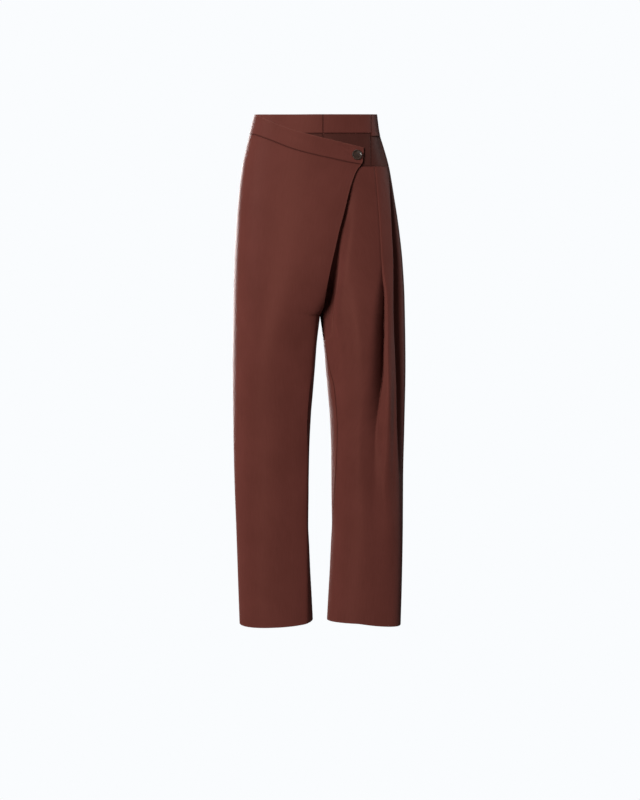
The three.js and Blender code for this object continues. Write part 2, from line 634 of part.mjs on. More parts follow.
// A three.js geometry as a manifold-3d solid, and back.
function solidOf(geometry) {
  const bare = geometry.clone();
  bare.deleteAttribute("normal");
  bare.deleteAttribute("uv");
  const merged = mergeVertices(bare, 1e-4);
  const vertProperties = new Float32Array(merged.getAttribute("position").array);
  const triVerts = new Uint32Array(merged.index.array);
  return new wasm.Manifold(new wasm.Mesh({ numProp: 3, vertProperties, triVerts }));
}
function geometryOf(solid) {
  const mesh = solid.getMesh();
  const geometry = new THREE.BufferGeometry();
  geometry.setAttribute("position", new THREE.BufferAttribute(mesh.vertProperties, 3));
  geometry.setIndex(new THREE.BufferAttribute(mesh.triVerts, 1));
  return geometry;
}

// Where the button sits: a frame with +Z pointing straight out of the slanting band.
function buttonFrame() {
  const pointAt = (x, z) => {
    const cut = section(-1, "wrap", z, -BAND_PROUD);
    return raised(pointOn(cut, angleAt(cut, x)), z);
  };
  const centre = pointAt(BUTTON_X, BUTTON_Z);
  const along = pointAt(BUTTON_X + 4, BUTTON_Z).sub(pointAt(BUTTON_X - 4, BUTTON_Z)).normalize();
  const up = pointAt(BUTTON_X, BUTTON_Z + 4).sub(pointAt(BUTTON_X, BUTTON_Z - 4)).normalize();
  const out = along.clone().cross(up).normalize();
  return new THREE.Matrix4().makeBasis(along, out.clone().cross(along), out).setPosition(centre);
}

// A four-hole button with a raised rim, on a thread shank that goes through the band to the yoke.
function button() {
  const [r, top] = [BUTTON_RADIUS, BUTTON_LIFT + BUTTON_THICKNESS];
  const shank = 1.4;
  const rim = 2; // width of the raised rim's flat top
  const profile = [
    [0, -SHANK_DEPTH],
    [shank, -SHANK_DEPTH],
    [shank, BUTTON_LIFT],
    [0.8 * r, BUTTON_LIFT],
    [r, BUTTON_LIFT + 1.2],
    [r, top - 0.6],
    [r - 0.7, top],
    [r - rim, top],
    [r - rim - 1, top - 0.9],
    [0, top - 1.2],
  ].map(([x, y]) => new THREE.Vector2(x, y));
  const disc = solidOf(new THREE.LatheGeometry(profile, 28).rotateX(Math.PI / 2));
  const [holeRadius, holeReach, holeDepth] = [0.85, 2.3, 1.6];
  const holes = [45, 135, 225, 315].map((degrees) => {
    const angle = degToRad(degrees);
    const hole = new THREE.CylinderGeometry(holeRadius, holeRadius, 2 * top, 8).rotateX(Math.PI / 2);
    hole.translate(holeReach * Math.cos(angle), holeReach * Math.sin(angle), 2 * top - 1.2 - holeDepth);
    return solidOf(hole);
  });
  return geometryOf(holes.reduce((rest, hole) => rest.subtract(hole), disc)).applyMatrix4(buttonFrame());
}

// The slanting band with a buttonhole for the shank, hidden behind the button.
function slantingBandWithButtonhole() {
  const slot = new THREE.BoxGeometry(BUTTONHOLE.length, BUTTONHOLE.width, BUTTONHOLE.cut);
  slot.rotateZ(degToRad(BUTTONHOLE.slant)).applyMatrix4(buttonFrame());
  return geometryOf(solidOf(slantingBand()).subtract(solidOf(slot)));
}

const twill = new THREE.MeshStandardMaterial({ color: 0x60352f, roughness: 0.62, metalness: 0 });
const horn = new THREE.MeshStandardMaterial({ color: 0x2f2019, roughness: 0.3, metalness: 0 });

const trousers = new THREE.Group();
const pieces = {
  waistband_front_right: waistbandFrontRight(),
  waistband_front_left: waistbandFrontLeft(),
  waistband_back: waistbandBack(),
  underlap_front_right: underlapFrontRight(),
  yoke_front_left: yokeFrontLeft(),
  yoke_side_left: yokeSideLeft(),
  wrap_band: slantingBandWithButtonhole(),
  front_right: rightFront(),
  front_left: leftFront(),
  back_right: backPanel(-1),
  back_left: backPanel(1),
  button: button(),
};
for (const [name, geometry] of Object.entries(pieces)) {
  const mesh = new THREE.Mesh(geometry, name === "button" ? horn : twill);
  mesh.name = name;
  trousers.add(mesh);
}

export default trousers;
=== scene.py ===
"""High-waisted straight trousers with a wrap front, in smooth brown twill, filled out as on a wearer.

The right front is cut on into a wrap that crosses the belly to a horn button on the left hip, under a
slanting band. The left front hangs from a hip yoke in a box pleat. Lengths are in millimetres up to the
point where a mesh is made, and meshes are in metres. +Z is up, the front faces -Y, and the wearer's left
is +X.
"""

from __future__ import annotations

import logging
import math
from collections.abc import Callable, Sequence
from dataclasses import dataclass
from enum import Enum, IntEnum

import bmesh
import bpy
import numpy as np
from mathutils import Matrix, Vector


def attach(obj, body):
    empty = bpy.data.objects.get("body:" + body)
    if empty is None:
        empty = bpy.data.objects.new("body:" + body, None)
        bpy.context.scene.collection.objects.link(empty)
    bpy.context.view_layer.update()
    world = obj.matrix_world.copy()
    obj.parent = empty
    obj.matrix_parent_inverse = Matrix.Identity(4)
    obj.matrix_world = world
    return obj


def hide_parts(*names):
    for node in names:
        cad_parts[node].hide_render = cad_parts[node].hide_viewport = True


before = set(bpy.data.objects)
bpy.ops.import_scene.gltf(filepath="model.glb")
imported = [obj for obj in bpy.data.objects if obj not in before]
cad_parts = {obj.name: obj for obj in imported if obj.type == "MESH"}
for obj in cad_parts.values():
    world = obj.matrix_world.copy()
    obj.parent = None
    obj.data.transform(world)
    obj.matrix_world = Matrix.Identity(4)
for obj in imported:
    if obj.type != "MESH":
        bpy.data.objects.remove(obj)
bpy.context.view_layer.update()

log = logging.getLogger("trousers")

Array = np.ndarray
Reading = Callable[[Array], Array]  # a value at each height, or a height at each y

METRE = 0.001  # metres in a millimetre
BODY = "root"

# Driving dimensions.
CLOTH = 1.6  # wall of a single panel
BAND = 2.4  # wall of a waistband: cloth, interfacing and facing
FRONT_BAND_DEPTH = 40.7
BACK_BAND_DEPTH = 47.5
BAND_PROUD = 0.4  # how far a waistband stands off the cloth under it
COVERED_CLEARANCE = 0.1  # added to the waistband's inset where the slanting band covers it
WAIST_DIP_FRONT = 0.145  # drop of the waist for each millimetre towards the front
WAIST_RISE_BACK = 0.09  # rise of the waist for each millimetre towards the back
YOKE_SEAM = -113.4  # height of the left yoke's lower seam at the side
YOKE_SEAM_DIP = 0.12  # its drop for each millimetre towards the front
YOKE_INSET = 1.0  # the pleated front stands this far proud of the yoke
UNDERLAP_INSET = CLOTH + 1.3  # the underlap lies this far inside the wrap
UNDERLAP_SIDE_FOOT = -300  # where its foot meets the right side seam
CROTCH_CLEARANCE = 1.6  # between its lowest end and the left front
CENTRE_FRONT = 6.5  # the waistband closes this far left of the middle
LEFT_BAND_SEAM = 110  # reach of the left front waistband, where the back one meets it
CROTCH = -440
FORK_TOP = -290  # above it the centre seams are nearly upright
CENTRE_LAP = 0.7  # how far the backs pass each other at the centre back seam, so that no light shows
HEM = -1104  # mean height of a hem
SIDE_SEAM = math.radians(184)  # just behind the outline
BEHIND = 1.5 * math.pi  # the centre back
ROUNDNESS = 2.2  # exponent of the sections: 2 is an ellipse, more is squarer
HEM_BLEND = 120  # the hem's curve fades out over this height
WAIST_BLEND = 150  # and so does a panel's upper edge
WRAP_BLEND = 230  # and the slanting band's lower edge
HEM_DEPTH = 38  # height of the hem's turned-up cloth
TURN_UP = 0.9  # what its second layer, pressed flat, adds to the wall
SEAM_ROLL = (1.9, 0.85)  # how far from a seam the outer face rolls in, and how deep
FOLD_ROLL = (0.5, 0.46)  # the same at a fold, where both faces do, as shares of the wall
SEAM_HOLD = 22  # how far from a seam the cloth hangs freely
PUCKER_RUN = 2.3  # length of seam for each radian of a pucker, so that one is about 14 mm long
PUCKER_REACH = 9  # how far from the seam puckers fade out
LONG_PANEL_ROWS = (104, 158)  # rows of points above the crotch and below it


class Side(IntEnum):
    """A side of the wearer, as the sign of its x."""

    RIGHT = -1
    LEFT = 1


class Layer(Enum):
    """Which front layer a section runs through."""

    WRAP = "wrap"
    UNDER = "under"


class View(Enum):
    """A view in which a crease is drawn: the coordinate that runs across it, and the way its cloth faces."""

    FRONT = (0, (0.0, -1.0, 0.0))
    BACK = (0, (0.0, 1.0, 0.0))
    FROM_RIGHT = (1, (-1.0, 0.0, 0.0))


class Edge(Enum):
    """How a cloth edge is finished: sewn to a neighbour, or folded under."""

    SEAM = "seam"
    FOLD = "fold"


def smooth(t: Array | float) -> Array:
    """An even ramp from 0 to 1 with level ends."""
    held = np.clip(t, 0, 1)
    return held * held * (3 - 2 * held)


def power(base: Array, exponent: float) -> Array:
    """A power that keeps the sign of its base."""
    return np.sign(base) * np.abs(base) ** exponent


def lerp(start: Array | float, end: Array | float, share: Array | float) -> Array:
    """The value a share of the way from start to end."""
    return start + (end - start) * share


class Table:
    """A short table with named columns, read as smooth curves that don't overshoot its rows."""

    def __init__(self, names: str, *rows: tuple[float, ...]) -> None:
        """Keeps the rows in the order of their first column.

        Args:
            names: The columns' names, with a space between them.
            rows: One value for each column.
        """
        self.names = names.split()
        self.rows = np.array(sorted(rows), float)

    def column(self, name: str) -> Reading:
        """One column as a smooth function of the first.

        Args:
            name: The column's name.

        Returns:
            A function of an array, held at its end values outside the table.
        """
        at, value = self.rows[:, 0], self.rows[:, self.names.index(name)]
        rise = np.diff(value) / np.diff(at)
        before, after = rise[:-1], rise[1:]
        total = np.where(before + after == 0, 1, before + after)
        inner = np.where(before * after > 0, 2 * before * after / total, 0)
        slope = np.concatenate([rise[:1], inner, rise[-1:]])

        def read(wanted: Array) -> Array:
            """The column's value at each wanted place."""
            place = np.clip(wanted, at[0], at[-1])
            i = np.clip(np.searchsorted(at, place) - 1, 0, len(at) - 2)
            span = at[i + 1] - at[i]
            t = (place - at[i]) / span
            start = (2 * t**3 - 3 * t**2 + 1) * value[i] + (t**3 - 2 * t**2 + t) * span * slope[i]
            end = (3 * t**2 - 2 * t**3) * value[i + 1] + (t**3 - t**2) * span * slope[i + 1]
            return start + end

        return read


# How far the two side outlines reach from the middle plane, at each height.
OUTLINE = Table(
    "z right left",
    (12, 140, 122.5),
    (0, 143, 124),
    (-41, 153, 129.5),
    (-75, 161, 139.5),
    (-113, 169, 150),
    (-180, 177.5, 161.5),
    (-250, 183, 172),
    (-320, 187, 179.5),
    (-405, 189, 184),
    (-550, 190, 186),
    (-680, 188.5, 183.5),
    (-785, 185.5, 181),
    (-890, 182, 180.5),
    (-1000, 178.5, 178.5),
    (-1120, 174.5, 175.5),
)
# Half of the gap between the legs.
LEG_GAP = Table(
    "z half",
    (-440, 0),
    (-471, 4),
    (-497, 7),
    (-549, 11),
    (-602, 15.5),
    (-654, 20),
    (-732, 23.5),
    (-840, 24.7),
    (-889, 25.5),
    (-942, 23.3),
    (-994, 21),
    (-1046, 18),
    (-1110, 14.5),
)
# How far each layer reaches forwards or back.
DEPTH = Table(
    "z wrap under back",
    (12, 87, 84, 87),
    (-12, 88, 85, 89),
    (-53, 91, 88, 95),
    (-113, 98, 91, 107),
    (-160, 103, 94, 114),
    (-220, 109, 97.5, 119),
    (-300, 112, 102, 119),
    (-380, 111, 104.5, 114),
    (-440, 109, 105, 109),
    (-500, 106, 104, 103),
    (-600, 96, 96, 93),
    (-700, 86, 86, 84),
    (-800, 78, 78, 77),
    (-900, 72.5, 72.5, 72),
    (-1000, 68.5, 68.5, 68),
    (-1120, 66, 66, 65),
)
# Where each layer reaches furthest, as a share of the way from the middle plane or the gap to the outline.
MIDDLE = Table(
    "z wrap under back",
    (-113, 0, 0, 0),
    (-160, 0, 0.08, 0),
    (-210, 0, 0.18, 0),
    (-260, 0.03, 0.28, 0.03),
    (-300, 0.09, 0.345, 0.08),
    (-350, 0.19, 0.4, 0.17),
    (-400, 0.3, 0.435, 0.28),
    (-440, 0.38, 0.455, 0.36),
    (-500, 0.45, 0.48, 0.44),
    (-560, 0.485, 0.495, 0.48),
    (-620, 0.5, 0.5, 0.5),
    (-700, 0.5, 0.5, 0.5),
)
# How far past the middle plane a layer's arc would close, as a share of the outline's reach.
PAST_MIDDLE = Table(
    "z under back",
    (-113, 1, 1),
    (-160, 0.82, 1),
    (-220, 0.46, 0.97),
    (-260, 0.27, 0.87),
    (-300, 0.14, 0.72),
    (-350, 0.06, 0.48),
    (-400, 0.02, 0.21),
    (-425, 0.01, 0.08),
    (-435, 0.004, 0.028),
    (-440, 0, 0),
)
# How far past the middle plane the wrap's arc would close, and the x of its free edge.
WRAP = Table(
    "z reach edge",
    (12, 126, 94.5),
    (-50, 134.5, 94.5),
    (-82, 145, 94),
    (-113, 154, 91.5),
    (-120, 156, 88.5),
    (-130, 158, 80.5),
    (-146, 160.5, 73),
    (-170, 163.5, 65),
    (-200, 168, 57.5),
    (-230, 163, 50.2),
    (-262, 148, 41.5),
    (-300, 122, 33),
    (-350, 82, 20.6),
    (-400, 38, 9.4),
    (-425, 14.5, 4.6),
    (-435, 5, 0.8),
    (-440, 0, -1.4),
)
# Heights of the slanting band's two edges.
SLANT = Table(
    "x upper lower",
    (-160, 2, -43.5),
    (-143, -3.5, -49.5),
    (-126, -14, -57),
    (-94, -30.5, -71.5),
    (-60, -44.5, -86),
    (-13, -58.5, -99.5),
    (34, -69.5, -110),
    (60, -75.5, -115.3),
    (95, -82.5, -120.5),
)
# How far each leg's inseam lies in front of the leg's innermost line, in degrees.
INSEAM = Table(
    "z right left",
    (-440, 0, 0),
    (-507, 16, 18),
    (-547, 26, 26),
    (-601, 36, 37),
    (-667, 36, 38),
    (-710, 33, 36),
    (-765, 27, 32),
    (-819, 20, 26),
    (-852, 13, 20),
    (-900, 4, 7),
    (-950, 0, 0),
    (-1110, -6, -6),
)
# The box pleat's two folded edges. Each has a groove beside it, towards the front or the back: where the
# edge lies across the leg, the groove's depth and width, how far its bottom is from the edge, how far the
# edge leans over it, and how high the edge stands.
FRONT_FOLD = Table(
    "z edge depth width bottom lean crest",
    (-100, 116.5, 1.3, 6, 1, 0, 0.4),
    (-122, 118, 1.8, 6, 1, 0, 0.5),
    (-210, 126, 2.8, 8, 1, 1, 1),
    (-325, 133.5, 4, 10, 2, 2, 1.5),
    (-366, 137.5, 13, 18, 3, 3, 2.5),
    (-388, 141, 24, 27, 4, 4, 3),
    (-427, 143, 37, 36, 6, 4, 3.5),
    (-494, 143.5, 50, 43, 8, 4, 4.5),
    (-557, 143.5, 50, 46, 10, 3, 5.5),
    (-623, 143, 37, 53, 17, 1, 6.5),
    (-707, 142, 18, 62, 26, 0, 5),
    (-795, 141, 8, 62, 28, 0, 2.5),
    (-880, 143, 2, 60, 30, 0, 0.6),
    (-960, 141, 0, 60, 30, 0, 0),
)
BACK_FOLD = Table(
    "z edge depth width bottom lean crest",
    (-100, 143, 0.6, 7, 2, 0, 0),
    (-116, 147, 1.4, 9, 3, 0, 0),
    (-150, 150.5, 6, 16, 4, 1, 0),
    (-180, 151, 14, 26, 5, 2, 0.5),
    (-259, 152.5, 25, 44, 7, 4, 1),
    (-325, 154.5, 31, 54, 9, 5, 1),
    (-400, 155, 34, 60, 11, 4, 1),
    (-455, 156.5, 34, 60, 12, 3, 0.5),
    (-519, 160, 30, 56, 13, 2, 0),
    (-601, 163.5, 22, 50, 13, 1, 0),
    (-680, 166, 13, 44, 13, 0, 0),
    (-750, 169, 7, 40, 14, 0, 0),
    (-820, 172, 2, 34, 14, 0, 0),
    (-880, 172, 0, 34, 14, 0, 0),
)
CREST_REACH = 11  # how far a fold's raised edge fades out towards its groove
STRIP_REACH = 22  # and how far on the strip between the two folds
FOLD_ROUND = 2  # how far back from its place a folded edge starts to round over
SIDE_MARGIN = 6  # flat cloth left between the back groove and the side seam
FORWARD = np.array([0.0, -1.0])  # in x and y


@dataclass(frozen=True)
class Arc:
    """The front or back half of a section: where it reaches furthest, where it ends inside, and its depth."""

    middle: Array
    inner: Array
    depth: Array


@dataclass(frozen=True)
class Section:
    """A level section of one side, as a front arc and a back arc that meet at the outer side."""

    side: Side
    outer: Array
    front: Arc
    back: Arc

    def point(self, angle: Array | float) -> tuple[Array, Array]:
        """The place at an angle.

        Args:
            angle: 0 inside, a quarter turn at the front, and half a turn at the outer side.

        Returns:
            The x and y.
        """
        along, across = np.cos(angle), np.sin(angle)
        ahead = across >= 0
        middle = np.where(ahead, self.front.middle, self.back.middle)
        inner = np.where(ahead, self.front.inner, self.back.inner)
        depth = np.where(ahead, self.front.depth, self.back.depth)
        reach = np.where(along >= 0, middle - inner, self.outer - middle)
        x = middle - reach * power(along, 2 / ROUNDNESS)
        return self.side * x, -power(across, 2 / ROUNDNESS) * depth

    def angle_at(self, x: Array | float, behind: bool = False) -> Array:
        """The angle at which an arc passes an x.

        Args:
            x: The x.
            behind: Whether to take the back arc instead of the front one.

        Returns:
            The angle.
        """
        arc = self.back if behind else self.front
        away = arc.middle - self.side * x
        reach = np.where(away >= 0, arc.middle - arc.inner, self.outer - arc.middle)
        angle = np.arccos(np.clip(power(away / reach, ROUNDNESS / 2), -1, 1))
        return 2 * math.pi - angle if behind else angle


class Form:
    """The hollow shape that the trousers have when they are worn, as sections at any height."""

    def __init__(self) -> None:
        """Reads every table once."""
        self.outline, self.inseam = (
            {side: table.column(side.name.lower()) for side in Side} for table in (OUTLINE, INSEAM)
        )
        self.gap = LEG_GAP.column("half")
        self.depth = {name: DEPTH.column(name) for name in ("wrap", "under", "back")}
        self.middle = {name: MIDDLE.column(name) for name in ("wrap", "under", "back")}
        self.past = {name: PAST_MIDDLE.column(name) for name in ("under", "back")}
        self.wrap_reach = WRAP.column("reach")
        self.wrap_edge = WRAP.column("edge")
        self.slant_upper = SLANT.column("upper")
        self.slant_lower = SLANT.column("lower")

    def section(self, side: Side, layer: Layer, z: Array, inset: Array | float = 0) -> Section:
        """One side's section at each height.

        Args:
            side: The wearer's right or left.
            layer: The front layer that the section runs through.
            z: Heights.
            inset: How far the whole section is drawn in.

        Returns:
            The section, with arrays of the shape of z.
        """
        z = np.asarray(z, float)
        reach = self.outline[side](z)
        above = z > CROTCH
        gap = np.where(above, 0, self.gap(z))

        def arc(name: str) -> Arc:
            """The arc of one layer, or of the back."""
            past = self.wrap_reach(z) if name == "wrap" else reach * self.past[name](z)
            middle = lerp(gap, reach, self.middle[name](z))
            return Arc(middle, np.where(above, -past, gap), self.depth[name](z) - inset)

        return Section(side, reach - inset, arc(layer.value), arc("back"))

    def between(
        self,
        side: Side,
        layer: Layer,
        inset: Array | float,
        angle_of: Callable[[Section], Array],
        edges: tuple[Reading, Reading],
        down: Array,
    ) -> Array:
        """Points of one side between two edges whose heights depend on how far forward the cloth lies.

        Args:
            side: The wearer's right or left.
            layer: The front layer.
            inset: How far the section is drawn in.
            angle_of: Finds each column's angle on a section.
            edges: The upper and the lower edge's height at a y.
            down: Shares of the way down, one for each row.

        Returns:
            The points, row by row.
        """

        def settled(rule: Reading) -> Array:
            """An edge's height at each column, where height and y agree."""
            z = rule(np.zeros(1))
            for _ in range(4):
                cut = self.section(side, layer, z)
                z = rule(cut.point(angle_of(cut))[1])
            return z

        z = lerp(settled(edges[0]), settled(edges[1]), down[:, None])
        angle = angle_of(self.section(side, layer, z))
        return joined(*self.section(side, layer, z, inset).point(angle), z)


def joined(x: Array, y: Array, z: Array) -> Array:
    """Arrays of x, y and z as one array of points."""
    return np.stack(np.broadcast_arrays(x, y, z), axis=-1)


def waist_top(y: Array) -> Array:
    """Height of the waist's upper edge, which follows the body's tilt."""
    return y * np.where(y < 0, WAIST_DIP_FRONT, WAIST_RISE_BACK)


def front_band_foot(y: Array) -> Array:
    """Height of the front waistband's lower edge."""
    return waist_top(y) - FRONT_BAND_DEPTH


def back_band_foot(y: Array) -> Array:
    """Height of the back waistband's lower edge."""
    return waist_top(y) - BACK_BAND_DEPTH


def yoke_foot(y: Array) -> Array:
    """Height of the left yoke's lower edge."""
    return YOKE_SEAM + y * YOKE_SEAM_DIP


def hem_shift(height: Array, angle: Array) -> Array:
    """How far cloth near a leg's foot rises or drops, for a hem that is lowest at the front.

    Args:
        height: Heights before the shift.
        angle: Angles round the section.

    Returns:
        Millimetres upwards.
    """
    inner_rise, front_drop, back_drop = 4, 8, -2
    rise = inner_rise * np.cos(angle) - np.where(np.sin(angle) > 0, front_drop, back_drop) * np.sin(angle)
    return smooth((HEM + HEM_BLEND - height) / HEM_BLEND) * rise


def centre_front(z: Array) -> Array:
    """How far left of the middle the centre front seam lies."""
    return CENTRE_FRONT * smooth((z - CROTCH) / (YOKE_SEAM - CROTCH))


def turned_by(share: Array, turn_at: Reading, z: Array) -> Array:
    """How far round from the side seam a share of a long panel's width lies.

    The panel's other edge swings fast along the crotch's curve, and only the last columns follow it.

    Args:
        share: Shares of the width.
        turn_at: The whole turn to the other edge, at a height.
        z: Heights.

    Returns:
        The turns, in radians.
    """
    turn = turn_at(z)
    upper, lower = turn_at(np.array([FORK_TOP, CROTCH], float))
    even = lerp(upper, lower, (FORK_TOP - z) / (FORK_TOP - CROTCH))
    forked = even * share - (even - turn) * share**4
    return np.where((z >= FORK_TOP) | (z <= CROTCH), turn * share, forked)


# Distances from an edge of the points that show how the cloth rolls over.
EDGE_STEPS = np.array([0, 0.25, 0.6, 1.0, 1.5, 2.2, 3.2, 4.6])


def stations(length: float, spacing: float) -> Array:
    """Shares of a length, close together near its two ends and evenly spaced between them.

    Args:
        length: The length.
        spacing: The wanted spacing away from the ends.

    Returns:
        The shares, from 0 to 1.
    """
    last = EDGE_STEPS[-1]
    count = max(2, round((length - 2 * last) / spacing))
    middle = np.linspace(last, length - last, count + 1)
    return np.concatenate([EDGE_STEPS[:-1], middle, length - EDGE_STEPS[:-1][::-1]]) / length


def panel_heights(top: float, rows_above: int, rows_below: int) -> Array:
    """Heights of a long panel's rows, closest at the crotch, at its top and at the hem.

    Args:
        top: The height of its upper edge.
        rows_above: Rows above the crotch.
        rows_below: Rows below it.

    Returns:
        The heights, from the top down.
    """
    above = lerp(CROTCH, top, np.linspace(1, 0, rows_above, endpoint=False) ** 1.5)
    below = lerp(CROTCH, HEM, np.linspace(0, 1, rows_below) ** 1.3)
    edges = np.concatenate([top - EDGE_STEPS[1:], HEM + EDGE_STEPS[1:]])
    return np.sort(np.concatenate([above[1:], below[:-1], edges, [top, HEM]]))[::-1]


def unit(vectors: Array) -> Array:
    """Vectors drawn to a length of 1."""
    return vectors / np.maximum(np.linalg.norm(vectors, axis=-1, keepdims=True), 1e-9)


def run_lengths(points: Array, axis: int) -> Array:
    """Length along the cloth from the first row or column to each point.

    Args:
        points: The grid.
        axis: 0 to measure down the columns, and 1 to measure along the rows.

    Returns:
        The lengths.
    """
    steps = np.linalg.norm(np.diff(points, axis=axis), axis=-1)
    start = np.zeros_like(np.take(steps, [0], axis=axis))
    return np.concatenate([start, np.cumsum(steps, axis=axis)], axis=axis)


def outward(points: Array, turn: int) -> Array:
    """The outward direction at each point of a grid.

    Args:
        points: The grid.
        turn: 1 where its columns run round to the left, and -1 otherwise.

    Returns:
        The unit normals.
    """
    fork = np.flatnonzero(points[:, 0, 2] <= CROTCH + 0.01)
    has_fork = fork.size and 1 < fork[0] < len(points) - 2
    # A panel's columns leap sideways at the crotch, so the rows above it and below it are measured apart.
    blocks = np.split(points, [fork[0]]) if has_fork else [points]
    down = np.concatenate([np.gradient(block, axis=0) for block in blocks])
    across = np.gradient(points, axis=1)
    return unit(np.cross(down, across) * turn)


def smooth_line(corners: Sequence[tuple[float, float]], steps: int = 6) -> Array:
    """A curve through a few points, as short straight lines.

    Args:
        corners: The points.
        steps: Lines between two of them.

    Returns:
        The curve's points.
    """
    points = np.array(corners, float)
    padded = np.vstack([2 * points[0] - points[1], points, 2 * points[-1] - points[-2]])
    t = np.linspace(0, 1, steps, endpoint=False)[:, None]
    pieces = []
    for a, b, c, d in zip(padded, padded[1:], padded[2:], padded[3:]):
        bend, twist = 2 * a - 5 * b + 4 * c - d, 3 * (b - c) + d - a
        pieces.append(0.5 * (2 * b + (c - a) * t + bend * t**2 + twist * t**3))
    return np.vstack([*pieces, points[-1:]])


@dataclass(frozen=True)
class Crease:
    """A soft ridge, or a trough where its height is negative, placed on what one view shows."""

    view: View
    path: tuple[tuple[float, float], ...]  # across the view, and z
    height: float
    width: float

    def relief(self, points: Array, normals: Array) -> Array:
        """How far the crease moves each point outwards.

        Args:
            points: A grid of points.
            normals: Their outward directions.

        Returns:
            Millimetres outwards.
        """
        axis, toward = self.view.value
        flat = points[..., [axis, 2]]
        line = smooth_line(self.path)
        nearest = np.full(flat.shape[:-1], np.inf)
        place = np.zeros(flat.shape[:-1])
        for k, (start, end) in enumerate(zip(line, line[1:])):
            run = end - start
            share = np.clip((flat - start) @ run / (run @ run), 0, 1)
            away = np.linalg.norm(flat - start - share[..., None] * run, axis=-1)
            closer = away < nearest
            nearest = np.where(closer, away, nearest)
            place = np.where(closer, (k + share) / (len(line) - 1), place)
        # The crease fades out at its two ends and on cloth that turns away, and dips a little beside itself.
        along = np.sin(math.pi * np.clip(place, 0, 1)) ** 0.8
        across = nearest / self.width
        profile = (1 - 0.45 * across**2) * np.exp(-(across**2))
        return self.height * along * profile * smooth(normals @ np.array(toward) / 0.45)


# The layers under the wrap fall away from its free edge.
WRAP_HOLLOW = Crease(
    View.FRONT,
    (
        (70, -150), (50, -230), (34, -300), (26, -335), (18, -370), (11, -400),
        (7, -425), (5, -445), (7, -464), (11, -480), (15, -493),
    ),
    -24,
    20,
)


@dataclass(frozen=True)
class Sway:
    """The uneven, mostly upright swelling that hanging cloth always has.

    It is the sum of waves about 380, 210 and 125 mm long round the leg, which drift sideways down it. They
    start below the waist and grow from the hip to the hem.
    """

    amount: float = 0.5
    at_hem: float = 1.1
    phase: float = 0.0

    def relief(self, points: Array, round_leg: Array) -> Array:
        """How far the cloth swells at each point.

        Args:
            points: A grid of points.
            round_leg: Length along the cloth round the leg.

        Returns:
            Millimetres outwards.
        """
        z = points[..., 2]
        drift = self.phase + round_leg / 61 + 0.7 * np.sin(z / 190 + self.phase)
        waves = np.sin(drift) + 0.6 * np.sin(1.83 * drift + z / 140) + 0.35 * np.sin(3.1 * drift - z / 85 + 1)
        low = smooth((-300 - z) / 700)
        return waves * lerp(self.amount, self.at_hem, low) * smooth((-60 - z) / 160) / 1.6


@dataclass(frozen=True)
class Cut:
    """The flat size of the cloth that shows: its width and length, and the area of its shape."""

    width: float
    length: float
    area: float


def pieces_done(piece: bpy.types.Object, node: str) -> None:
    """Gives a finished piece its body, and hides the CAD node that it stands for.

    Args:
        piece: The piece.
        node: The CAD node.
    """
    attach(piece, BODY)
    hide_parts(node)


